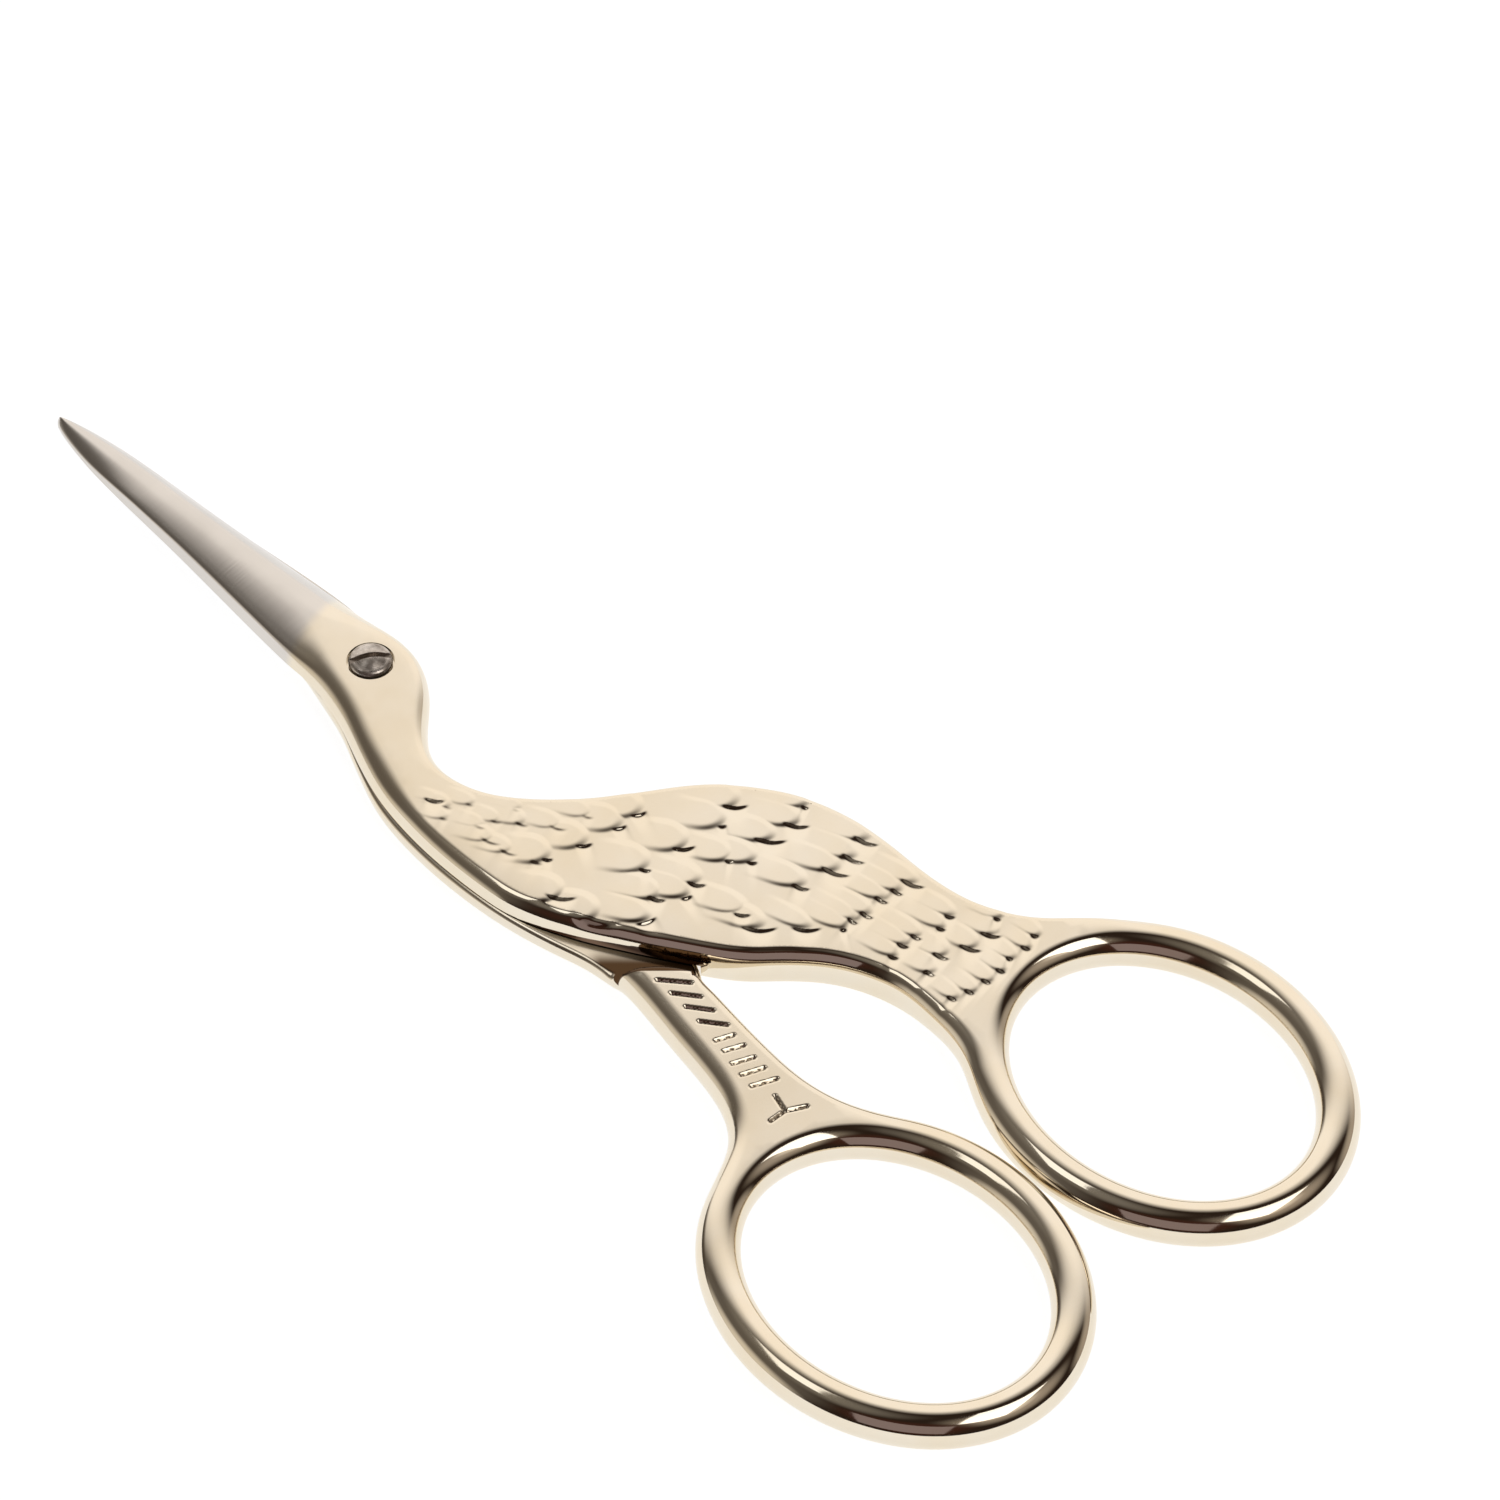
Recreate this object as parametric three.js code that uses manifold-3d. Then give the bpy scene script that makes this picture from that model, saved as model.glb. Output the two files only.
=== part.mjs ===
// Stork embroidery scissors: two forged halves that cross at a screw, closed.
// Millimetres, +Z up. The origin is on the pivot axis, in the plane the scissors lie on.
// +X runs from the pivot to the finger rings, so the blades (the stork's beak) point along -X.
// The front half is the bird with its feathered body; the rear half is the plate and leg under it.

import * as THREE from 'three';
import { mergeVertices } from 'three/addons/utils/BufferGeometryUtils.js';
import Module from 'manifold-3d';

const wasm = await Module();
wasm.setup();

// Thickness
const HALF_THICKNESS = 1.6; // each half at the pivot: two of them make the full thickness
const PARTING_GAP = 0.1; // running gap between the two inner faces
const EDGE_ROUND = 1.3; // plan width of the rounded edge of body, leg and rings
const PLATE_ROUND = 0.6; // plan width of the tighter edge of the rear plate

// Blades
const BLADE_LENGTH = 34.3; // pivot to tip
const BLADE_ROOT = 5.1; // pivot to where the blade leaves the head
const TIP_TAPER = 4.4; // length of the last, steeper taper
const TIP_RADIUS = 0.45;
const TIP_HEIGHT = 0.55; // thickness of one blade at the tip
const BLADE_AXIS_ROOT_Y = -0.36; // the line the two blades mirror each other in
const BLADE_AXIS_TIP_Y = -0.72;
const SPINE_AT_ROOT = 3.45; // from that line to the spine
const SPINE_AT_TAPER = 1.42;
const EDGE_COVER = 0.3; // how far a cutting edge stays behind the other blade's spine when shut
const BEVEL_AT_ROOT = 2.8; // plan width of the ground bevel behind the cutting edge
const BEVEL_AT_TIP = 0.5;
const GRIND_RUNOUT = 2.2; // length over which the ground faces fade into the head
const SPINE_WIDTH = 1.25; // plan width of the spine: a steep wall, then a ground facet
const WALL_LEAN = 0.29; // share of that width that the wall takes
const WALL_RISE = 0.64; // share of the blade's thickness that the wall takes at the root

// Finger rings: elliptical loops, mirrored about a line parallel to X
const RING_CENTRE_X = 65.2;
const RING_AXIS_Y = 3.38;
const RING_GAP = 0.36; // between the rings when the scissors are shut
const RING_HOLE_X = 12.0; // semi-axes of the finger hole
const RING_HOLE_Y = 9.4;
const RING_TUBE = 3.12; // width of the loop's metal
const FRONT_ARC = [-125, 141]; // degrees round the ring that stand free of the tail
const REAR_ARC = [-163, 133]; // degrees round the ring that stand free of the leg

// Outlines of the body, listed along the edge
const BREAST_LINE = [
  [-2.2, -3.82], [1.8, -4.7], [5.8, -6.25], [9.7, -7.45], [14.6, -8.03],
  [19.6, -7.95], [23.5, -7.48], [27.4, -6.22], [31.3, -4.0],
];
const BELLY_END = [35.4, -1.35];
const TAIL_UNDERSIDE = [
  [38.4, 0.8], [40.5, 3.2], [42.8, 5.35], [45.6, 6.8], [48.7, 7.5], [51.8, 7.55], [54.4, 7.0],
];
const WING_LINE = [
  [51.7, 22.2], [49.0, 19.1], [45.4, 17.1], [41.4, 16.4], [37.4, 16.35], [33.5, 15.9],
  [29.8, 14.6], [26.6, 12.5], [23.9, 9.8],
];
const NECK_LINE = [
  [21.8, 6.5], [19.6, 3.2], [16.8, 0.1], [14.4, -1.75], [11.4, -2.6], [9.0, -2.2],
  [7.0, -0.75], [4.8, 1.5], [3.2, 2.6],
];
const CROWN_LINE = [[1.3, 3.3], [-0.6, 3.35], [-2.6, 3.15]];

// Rear half: plate under the bird, then the leg
const BREAST_LEDGE = 0.33; // how far the plate shows past the breast
const LEDGE_START = 1.8; // from the pivot, where the ledge begins to show
const LEDGE_FULL = 10;
const NECK_INSET = 0.08; // how far the plate stays back behind the neck
const HEEL = [-0.6, 2.55]; // back of the rear blade, under the crown
const CHIN = [-1.2, -3.95]; // where the rear cutting edge runs into the throat
const LEG_FRONT = [
  [27.6, -6.85], [30.1, -6.1], [33.7, -6.0], [39.6, -6.9], [43.6, -7.5], [46.6, -8.3], [49.0, -9.9],
];
const LEG_BACK = [[53.0, -1.3], [51.0, -2.1], [48.5, -2.5], [44.0, -2.35], [39.4, -1.9]];
const PLATE_END = [[36.7, -1.6], [23.3, 6.45]]; // straight end of the plate, leg to back
const PLATE_END_SHARES = [0, 0.1, 0.5, 0.9, 1]; // where points along it hold it straight
const REBATE_CLEARANCE = 0.4; // plate end to the wall of the front half
const STEP_LINE = [[33.2, -6.0], [37.6, -2.2]]; // where the leg rises to full thickness
const STEP_BULGE = 0.6; // how far that step is rounded forward

// Pivot screw
const SHANK_RADIUS = 0.9;
const SHANK_CLEARANCE = 0.05; // radial, in both halves
const HEAD_RADIUS = 1.6;
const HEAD_PROUD = 0.7; // head above the front face
const HEAD_EDGE_ROUND = 0.4;
const SEAT_DEPTH = 0.4; // counterbore under the head
const SEAT_CLEARANCE = 0.15; // radial, round the head
const SEAT_GAP = 0.1; // running gap under the head
const SLOT_WIDTH = 0.45;
const SLOT_DEPTH = 0.5;
const SLOT_ANGLE = 58; // degrees from +X

// Facets
const FACET_LENGTH = 1.8; // along the outlines
const EDGE_STEPS = 4; // per quarter round
const ROUND_SEGMENTS = 32;
const HOLE_SEGMENTS = 44;
const FULL_TURN = 360;
const ARC_STEP = 12; // degrees between points on the ring
const EDGE_SHARE = 0.9; // of the local half width that an edge may take

const FULL_THICKNESS = 2 * HALF_THICKNESS;
const CUT_MARGIN = FULL_THICKNESS; // how far cutting tools run past the solid
const RING_OUTER_X = RING_HOLE_X + RING_TUBE;
const RING_OUTER_Y = RING_HOLE_Y + RING_TUBE;
const RING_OFFSET_Y = RING_OUTER_Y + RING_GAP / 2;
const FRONT_RING = new THREE.Vector2(RING_CENTRE_X, RING_AXIS_Y + RING_OFFSET_Y);
const REAR_RING = new THREE.Vector2(RING_CENTRE_X, RING_AXIS_Y - RING_OFFSET_Y);

const { lerp, degToRad, smoothstep } = THREE.MathUtils;
const toVectors = (points) => points.map(([x, y]) => new THREE.Vector2(x, y));

/** Point on a finger ring's outline, or on its hole, at an angle in degrees. */
function onRing(centre, semiX, semiY, degrees) {
  const angle = degToRad(degrees);
  return new THREE.Vector2(centre.x + semiX * Math.cos(angle), centre.y + semiY * Math.sin(angle));
}

/** Free outer arc of a ring, counter-clockwise between two angles. */
function ringArc(centre, [from, to]) {
  const count = Math.round((to - from) / ARC_STEP);
  return Array.from({ length: count + 1 }, (_, i) =>
    onRing(centre, RING_OUTER_X, RING_OUTER_Y, lerp(from, to, i / count)));
}

/** Finger hole, clockwise, so that the metal lies on its left. */
function ringHole(centre) {
  return Array.from({ length: HOLE_SEGMENTS }, (_, i) =>
    onRing(centre, RING_HOLE_X, RING_HOLE_Y, (-FULL_TURN * i) / HOLE_SEGMENTS));
}

/** Point beside the blade's mirror line: offset is positive towards +Y. */
function besideBladeAxis(fromPivot, offset) {
  const t = (fromPivot - BLADE_ROOT) / (BLADE_LENGTH - BLADE_ROOT);
  return new THREE.Vector2(-fromPivot, lerp(BLADE_AXIS_ROOT_Y, BLADE_AXIS_TIP_Y, t) + offset);
}

/** One side of a blade from root to just behind the tip, moved in from the line of the spine. */
function bladeSide(side, cover) {
  const taperStart = BLADE_LENGTH - TIP_TAPER;
  const middle = (BLADE_ROOT + taperStart) / 2;
  const middleOffset = (SPINE_AT_ROOT + SPINE_AT_TAPER) / 2;
  return [
    besideBladeAxis(BLADE_ROOT, side * (SPINE_AT_ROOT - cover)),
    besideBladeAxis(middle, side * (middleOffset - cover)),
    besideBladeAxis(taperStart, side * (SPINE_AT_TAPER - cover)),
    besideBladeAxis(BLADE_LENGTH - TIP_RADIUS, side * TIP_RADIUS),
  ];
}

/** Cutting edge of a blade from root to tip; side is +1 for the front half, -1 for the rear. */
function cuttingEdge(side) {
  return [...bladeSide(side, EDGE_COVER), besideBladeAxis(BLADE_LENGTH, 0)];
}

/** Spine of a blade from root to just behind the tip, on the side away from the cutting edge. */
function bladeSpine(side) {
  return bladeSide(-side, 0);
}

/** Smooth closed curve through the points, cut into facets. */
function smoothOutline(points) {
  const knots = points.map((p) => new THREE.Vector3(p.x, p.y, 0));
  const curve = new THREE.CatmullRomCurve3(knots, true, 'centripetal');
  const outline = [];
  points.forEach((point, k) => {
    const next = points[(k + 1) % points.length];
    const count = Math.max(1, Math.round(point.distanceTo(next) / FACET_LENGTH));
    for (let j = 0; j < count; j++) {
      const at = curve.getPoint((k + j / count) / points.length);
      outline.push(new THREE.Vector2(at.x, at.y));
    }
  });
  return outline;
}

/** Unit normals that point into the metal, which lies on the left of a loop. */
function inwardNormals(loop) {
  return loop.map((_, i) => {
    const before = loop[(i + loop.length - 1) % loop.length];
    const after = loop[(i + 1) % loop.length];
    return new THREE.Vector2(before.y - after.y, after.x - before.x).normalize();
  });
}

/** Radius of the largest circle inside the metal that touches the edge at a point. */
function inscribedRadius(point, normal, loops) {
  let radius = Infinity;
  for (const other of loops.flat()) {
    const away = other.clone().sub(point);
    const depth = away.dot(normal);
    if (depth > 0) radius = Math.min(radius, away.lengthSq() / (2 * depth));
  }
  return radius;
}

/**
 * Section of an edge, from the parting plane (share 0) to the face (share 1), as shares of the
 * edge's width and height: a quarter round, turned into a straight bevel or a wall and facet.
 */
function edgeSection(share, { bevel, spine, wallRise }) {
  const turn = share * Math.PI / 2;
  const upWall = Math.min(1, 2 * share);
  const upFacet = Math.max(0, 2 * share - 1);
  const wallInset = WALL_LEAN * upWall + (1 - WALL_LEAN) * upFacet;
  const wallHeight = wallRise * upWall + (1 - wallRise) * upFacet;
  return {
    inset: lerp(lerp(1 - Math.cos(turn), share, bevel), wallInset, spine),
    rise: lerp(lerp(Math.sin(turn), share, bevel), wallHeight, spine),
  };
}

/**
 * Plate with shaped edges: each edge point has a plan width, a height above and below the
 * parting plane, and the shares that make its section.
 */
function shapedPlate(outline, hole, edgeAt) {
  const loops = [outline, hole];
  const levels = 2 * EDGE_STEPS + 1;
  const positions = [];
  const index = [];
  const rims = { top: [], bottom: [] };

  for (const loop of loops) {
    const normals = inwardNormals(loop);
    const start = positions.length / 3;
    loop.forEach((point, i) => {
      const edge = edgeAt(point);
      const width = Math.min(edge.width, EDGE_SHARE * inscribedRadius(point, normals[i], loops));
      for (let level = -EDGE_STEPS; level <= EDGE_STEPS; level++) {
        const section = edgeSection(Math.abs(level) / EDGE_STEPS, edge);
        const at = point.clone().addScaledVector(normals[i], width * section.inset);
        const rise = Math.sign(level) * edge.height * section.rise;
        positions.push(at.x, at.y, HALF_THICKNESS + rise);
      }
    });
    loop.forEach((_, i) => {
      const here = start + i * levels;
      const next = start + ((i + 1) % loop.length) * levels;
      for (let k = 0; k < levels - 1; k++) {
        index.push(here + k, next + k, next + k + 1, here + k, next + k + 1, here + k + 1);
      }
    });
    rims.bottom.push(loop.map((_, i) => start + i * levels));
    rims.top.push(loop.map((_, i) => start + i * levels + levels - 1));
  }

  for (const [side, rim] of Object.entries(rims)) {
    const plan = rim.map((ids) =>
      ids.map((id) => new THREE.Vector2(positions[3 * id], positions[3 * id + 1])));
    const ids = rim.flat();
    for (const [a, b, c] of THREE.ShapeUtils.triangulateShape(plan[0], plan.slice(1))) {
      if (side === 'top') index.push(ids[a], ids[b], ids[c]);
      else index.push(ids[a], ids[c], ids[b]);
    }
  }

  const geometry = new THREE.BufferGeometry();
  geometry.setAttribute('position', new THREE.Float32BufferAttribute(positions, 3));
  geometry.setIndex(index);
  return geometry;
}

/** Closed three.js geometry to a solid that can be cut. */
function toSolid(geometry) {
  const bare = geometry.clone();
  bare.deleteAttribute('normal');
  bare.deleteAttribute('uv');
  const merged = mergeVertices(bare);
  return new wasm.Manifold(new wasm.Mesh({
    numProp: 3,
    vertProperties: Float32Array.from(merged.attributes.position.array),
    triVerts: Uint32Array.from(merged.index.array),
  }));
}

/** Solid back to a three.js geometry. */
function toGeometry(solid) {
  const mesh = solid.getMesh();
  const geometry = new THREE.BufferGeometry();
  geometry.setAttribute('position', new THREE.BufferAttribute(mesh.vertProperties, 3));
  geometry.setIndex(new THREE.BufferAttribute(mesh.triVerts, 1));
  geometry.computeVertexNormals();
  return geometry;
}

/** Upright round tool on the pivot axis between two heights. */
function pivotCylinder(radius, bottom, top) {
  const geometry = new THREE.CylinderGeometry(radius, radius, top - bottom, ROUND_SEGMENTS);
  geometry.rotateX(Math.PI / 2).translate(0, 0, (bottom + top) / 2);
  return toSolid(geometry);
}

/** Tool that clears one layer of a half on the blade side of a line across it. */
function layerCutter([near, far], bulge, bottom, top) {
  const along = far.clone().sub(near).normalize();
  const forward = new THREE.Vector2(-along.y, along.x);
  const before = near.clone().addScaledVector(along, -CUT_MARGIN);
  const after = far.clone().addScaledVector(along, CUT_MARGIN);
  const control = near.clone().lerp(far, 0.5).addScaledVector(forward, 2 * bulge);
  const left = -BLADE_LENGTH - CUT_MARGIN;
  const reach = FRONT_RING.y + RING_OUTER_Y + CUT_MARGIN;
  const shape = new THREE.Shape();
  shape.moveTo(left, -reach);
  shape.lineTo(before.x, -reach);
  shape.lineTo(before.x, before.y);
  shape.lineTo(near.x, near.y);
  shape.quadraticCurveTo(control.x, control.y, far.x, far.y);
  shape.lineTo(after.x, after.y);
  shape.lineTo(after.x, reach);
  shape.lineTo(left, reach);
  const geometry = new THREE.ExtrudeGeometry(shape, {
    depth: top - bottom, bevelEnabled: false, curveSegments: ROUND_SEGMENTS / 4,
  });
  geometry.translate(0, 0, bottom);
  return toSolid(geometry);
}

/** Edge shape along a half: the blade has a bevel and a ground spine, the rest is rounded. */
function edgeShape(side, roundAt) {
  return (point) => {
    const toTip = THREE.MathUtils.clamp((-point.x - BLADE_ROOT) / (BLADE_LENGTH - BLADE_ROOT), 0, 1);
    const axisY = lerp(BLADE_AXIS_ROOT_Y, BLADE_AXIS_TIP_Y, toTip);
    const cuttingSide = side * (point.y - axisY) > 0 ? 1 : 0;
    const ground = smoothstep(-point.x, BLADE_ROOT - GRIND_RUNOUT, BLADE_ROOT);
    const groundWidth = cuttingSide ? lerp(BEVEL_AT_ROOT, BEVEL_AT_TIP, toTip) : SPINE_WIDTH;
    return {
      bevel: ground * cuttingSide,
      spine: ground * (1 - cuttingSide),
      wallRise: WALL_RISE * (1 - toTip * toTip),
      width: lerp(roundAt(point), groundWidth, ground),
      height: lerp(HALF_THICKNESS, TIP_HEIGHT, toTip * toTip),
    };
  };
}

/** Moves each point of an open line to its right by a distance. */
function insetLine(points, distance) {
  return points.map((point, i) => {
    const before = points[Math.max(0, i - 1)];
    const after = points[Math.min(points.length - 1, i + 1)];
    const right = new THREE.Vector2(after.y - before.y, before.x - after.x).normalize();
    return point.clone().addScaledVector(right, -distance);
  });
}

/** Front half: upper blade, head, neck, feathered body, tail and its finger ring. */
function frontHalf() {
  const outline = smoothOutline([
    ...bladeSpine(1).reverse(),
    ...toVectors(BREAST_LINE),
    ...toVectors([BELLY_END]),
    ...toVectors(TAIL_UNDERSIDE),
    ...ringArc(FRONT_RING, FRONT_ARC),
    ...toVectors(WING_LINE),
    ...toVectors(NECK_LINE),
    ...toVectors(CROWN_LINE),
    ...cuttingEdge(1),
  ]);
  const plate = shapedPlate(outline, ringHole(FRONT_RING), edgeShape(1, () => EDGE_ROUND));
  const [near, far] = toVectors(PLATE_END);
  const along = far.clone().sub(near).normalize();
  const away = new THREE.Vector2(along.y, -along.x).multiplyScalar(REBATE_CLEARANCE);
  const innerFace = HALF_THICKNESS + PARTING_GAP / 2;
  const rebate = layerCutter([near.add(away), far.add(away)], 0, -CUT_MARGIN, innerFace);
  const top = FULL_THICKNESS + CUT_MARGIN;
  const bore = pivotCylinder(SHANK_RADIUS + SHANK_CLEARANCE, -CUT_MARGIN, top);
  const seat = pivotCylinder(HEAD_RADIUS + SEAT_CLEARANCE, FULL_THICKNESS - SEAT_DEPTH, top);
  return toGeometry(toSolid(plate).subtract(rebate).subtract(bore).subtract(seat));
}

/** Rear half: lower blade, the plate under the bird, the leg and its finger ring. */
function rearHalf() {
  const [endNear, endFar] = toVectors(PLATE_END);
  const plateEnd = PLATE_END_SHARES.map((t) => endNear.clone().lerp(endFar, t));
  const ledge = toVectors(BREAST_LINE.slice(1, -2));
  for (const p of ledge) p.y -= BREAST_LEDGE * smoothstep(p.x, LEDGE_START, LEDGE_FULL);
  const outline = smoothOutline([
    ...cuttingEdge(-1).reverse(),
    ...toVectors([CHIN]),
    ...ledge,
    ...toVectors(LEG_FRONT),
    ...ringArc(REAR_RING, REAR_ARC),
    ...toVectors(LEG_BACK),
    ...plateEnd,
    ...insetLine(toVectors(NECK_LINE), NECK_INSET).slice(1),
    ...toVectors([HEEL]),
    ...bladeSpine(-1),
  ]);
  const [stepNear, stepFar] = toVectors(STEP_LINE);
  const roundAt = (p) => lerp(PLATE_ROUND, EDGE_ROUND, smoothstep(p.x, endFar.x, stepFar.x));
  const plate = shapedPlate(outline, ringHole(REAR_RING), edgeShape(-1, roundAt));
  const innerFace = HALF_THICKNESS - PARTING_GAP / 2;
  const top = FULL_THICKNESS + CUT_MARGIN;
  const step = layerCutter([stepNear, stepFar], STEP_BULGE, innerFace, top);
  const bore = pivotCylinder(SHANK_RADIUS + SHANK_CLEARANCE, -CUT_MARGIN, top);
  return toGeometry(toSolid(plate).subtract(step).subtract(bore));
}

/** Pivot screw: plain shank, raised head with a rounded edge and one slot. */
function pivotScrew() {
  const seat = FULL_THICKNESS - SEAT_DEPTH + SEAT_GAP;
  const top = FULL_THICKNESS + HEAD_PROUD;
  const profile = new THREE.Path();
  profile.moveTo(0, 0);
  profile.lineTo(SHANK_RADIUS, 0);
  profile.lineTo(SHANK_RADIUS, seat);
  profile.lineTo(HEAD_RADIUS, seat);
  profile.lineTo(HEAD_RADIUS, top - HEAD_EDGE_ROUND);
  const centre = [HEAD_RADIUS - HEAD_EDGE_ROUND, top - HEAD_EDGE_ROUND];
  profile.absarc(...centre, HEAD_EDGE_ROUND, 0, Math.PI / 2);
  profile.lineTo(0, top);
  const body = new THREE.LatheGeometry(profile.getPoints(EDGE_STEPS), ROUND_SEGMENTS);
  const slot = new THREE.BoxGeometry(2 * HEAD_RADIUS + CUT_MARGIN, SLOT_WIDTH, 2 * SLOT_DEPTH);
  slot.rotateZ(degToRad(SLOT_ANGLE)).translate(0, 0, top);
  return toGeometry(toSolid(body.rotateX(Math.PI / 2)).subtract(toSolid(slot)));
}

const plated = { color: 0xd9c6a8, metalness: 1, roughness: 0.12 };
const turned = { color: 0xb5ada4, metalness: 1, roughness: 0.2 };

const scissors = new THREE.Group();
for (const [name, geometry, finish] of [
  ['front_half', frontHalf(), plated],
  ['rear_half', rearHalf(), plated],
  ['pivot_screw', pivotScrew(), turned],
]) {
  const mesh = new THREE.Mesh(geometry, new THREE.MeshStandardMaterial(finish));
  mesh.name = name;
  scissors.add(mesh);
}

export default scissors;
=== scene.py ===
"""Looks of a pair of stork embroidery scissors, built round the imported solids.

Both halves are drawn again from nearly the same outlines with fine facets, so that the polished plating
mirrors its surroundings smoothly, and carry the feathers, the leg's engraved lines and the
bird's-foot mark as real relief. Sizes are in millimetres until a mesh is made.
"""

import logging
import math
from dataclasses import dataclass, field
from enum import Enum

import bpy
import numpy as np
from bpy.types import Material, NodeSocket, NodeTree, Object
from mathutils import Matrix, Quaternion, Vector
from mathutils.geometry import delaunay_2d_cdt
from mathutils.kdtree import KDTree


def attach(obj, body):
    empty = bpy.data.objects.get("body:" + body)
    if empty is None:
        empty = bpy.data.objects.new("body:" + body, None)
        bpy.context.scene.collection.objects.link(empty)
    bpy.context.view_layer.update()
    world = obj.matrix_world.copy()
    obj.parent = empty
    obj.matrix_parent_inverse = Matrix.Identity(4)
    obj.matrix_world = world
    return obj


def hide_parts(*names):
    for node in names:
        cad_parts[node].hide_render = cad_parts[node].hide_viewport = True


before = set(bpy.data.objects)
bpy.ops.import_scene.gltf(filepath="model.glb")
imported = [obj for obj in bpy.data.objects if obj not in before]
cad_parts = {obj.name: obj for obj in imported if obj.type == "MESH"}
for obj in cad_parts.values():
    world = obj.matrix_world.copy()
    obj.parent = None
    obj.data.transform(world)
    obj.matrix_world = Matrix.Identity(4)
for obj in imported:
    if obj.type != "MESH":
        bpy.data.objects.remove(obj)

MM = 0.001
SAME_HEIGHT = 0.02  # heights this near to each other, in millimetres, count as one
NEARLY_LEVEL = 0.9  # least upright part of the normal of a riding face
DEAD_LEVEL = 0.9999  # the same of a dead flat face
LOG = logging.getLogger("stork_scissors")
Array = np.ndarray
Pair = tuple[float, float]
Points = tuple[Pair, ...]
Path = list[Pair]


class Half(Enum):
    """Which half a forging is: +1 has its cutting edge towards +Y, -1 towards -Y."""

    FRONT = 1
    REAR = -1


class Body(Enum):
    """Moving bodies of the frame."""

    FRONT = "front"
    REAR = "rear"


def lerp(start: Array | float, end: Array | float, share: Array | float) -> Array:
    """Straight mix of two values."""
    return start + (end - start) * share


def smoothstep(value: Array, low: float, high: float) -> Array:
    """Soft step from 0 at low to 1 at high."""
    share = np.clip((value - low) / (high - low), 0.0, 1.0)
    return share * share * (3.0 - 2.0 * share)


def linear(hex_colour: str) -> tuple[float, float, float, float]:
    """Turns an sRGB hex colour into linear RGBA.

    Args:
        hex_colour: six hex digits after a hash.

    Returns:
        Linear red, green, blue and an alpha of 1.
    """
    values = [int(hex_colour[i:i + 2], 16) / 255.0 for i in (1, 3, 5)]
    red, green, blue = [v / 12.92 if v <= 0.04045 else ((v + 0.055) / 1.055) ** 2.4 for v in values]
    return red, green, blue, 1.0


def add_node(tree: NodeTree, kind: str, inputs: dict | None = None, out: int | str = 0,
             **settings: str | bool) -> NodeSocket | None:
    """Adds one shader node, sets it up and links it.

    Args:
        tree: the node tree of a material or world.
        kind: Blender's name of the node's type, without the ShaderNode before it.
        inputs: values by input name or number; an output socket is linked, anything else is set.
        out: name or number of the output that is wanted.
        settings: attributes to set on the node.

    Returns:
        The wanted output, or None from a node that has no outputs.
    """
    node = tree.nodes.new("ShaderNode" + kind)
    for name, value in settings.items():
        setattr(node, name, value)
    for name, value in (inputs or {}).items():
        if isinstance(value, NodeSocket):
            tree.links.new(value, node.inputs[name])
        else:
            node.inputs[name].default_value = value
    return node.outputs[out] if node.outputs else None


def new_tree(name: str) -> tuple[Material, NodeTree]:
    """Makes an empty node material.

    Args:
        name: name of the material.

    Returns:
        The material and its node tree.
    """
    material = bpy.data.materials.new(name)
    material.use_nodes = True
    material.node_tree.nodes.clear()
    return material, material.node_tree


def closed_curve(knots: Array, step: float) -> Array:
    """Smooth closed curve through the knots (centripetal), cut into even steps.

    Args:
        knots: points in order, one row each.
        step: length of a facet.

    Returns:
        Points along the curve, one row each.
    """
    before, after, beyond = (np.roll(knots, shift, 0) for shift in (1, -1, -2))
    spans = [np.sqrt(np.linalg.norm(b - a, axis=1))[:, None] for a, b in
             ((before, knots), (knots, after), (after, beyond))]
    leave = ((knots - before) / spans[0] - (after - before) / (spans[0] + spans[1])
             + (after - knots) / spans[1]) * spans[1]
    arrive = ((after - knots) / spans[1] - (beyond - knots) / (spans[1] + spans[2])
              + (beyond - after) / spans[2]) * spans[1]
    cuts = 60
    share = np.linspace(0.0, 1.0, cuts, endpoint=False)[None, :, None]
    start, end, leave, arrive = (v[:, None, :] for v in (knots, after, leave, arrive))
    dense = (start + leave * share + (3 * (end - start) - 2 * leave - arrive) * share ** 2
             + (2 * (start - end) + leave + arrive) * share ** 3).reshape(-1, 2)
    lengths = np.linalg.norm(np.roll(dense, -1, 0) - dense, axis=1)
    run = np.concatenate([[0.0], np.cumsum(lengths)])
    count = int(round(run[-1] / step))
    at = np.arange(count) * run[-1] / count
    closed = np.vstack([dense, dense[:1]])
    return np.stack([np.interp(at, run, closed[:, axis]) for axis in (0, 1)], 1)


def faired(values: Array, step: float, reach: float) -> Array:
    """Evens out a closed row of values or points with a bell-shaped weight along it.

    Args:
        values: one row for each step along a closed loop.
        step: length of a step.
        reach: spread of the weight along the loop.

    Returns:
        The evened values, in the same shape.
    """
    pitch = np.fft.fftfreq(len(values), step)
    weight = np.exp(-2.0 * (math.pi * pitch * reach) ** 2)
    if values.ndim == 2:
        weight = weight[:, None]
    return np.real(np.fft.ifft(np.fft.fft(values, axis=0) * weight, axis=0))


def inward_normals(loop: Array) -> Array:
    """Unit normals into the metal, which lies on the left of a loop."""
    along = np.roll(loop, -1, 0) - np.roll(loop, 1, 0)
    normals = np.stack([-along[:, 1], along[:, 0]], 1)
    return normals / np.linalg.norm(normals, axis=1, keepdims=True)


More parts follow.
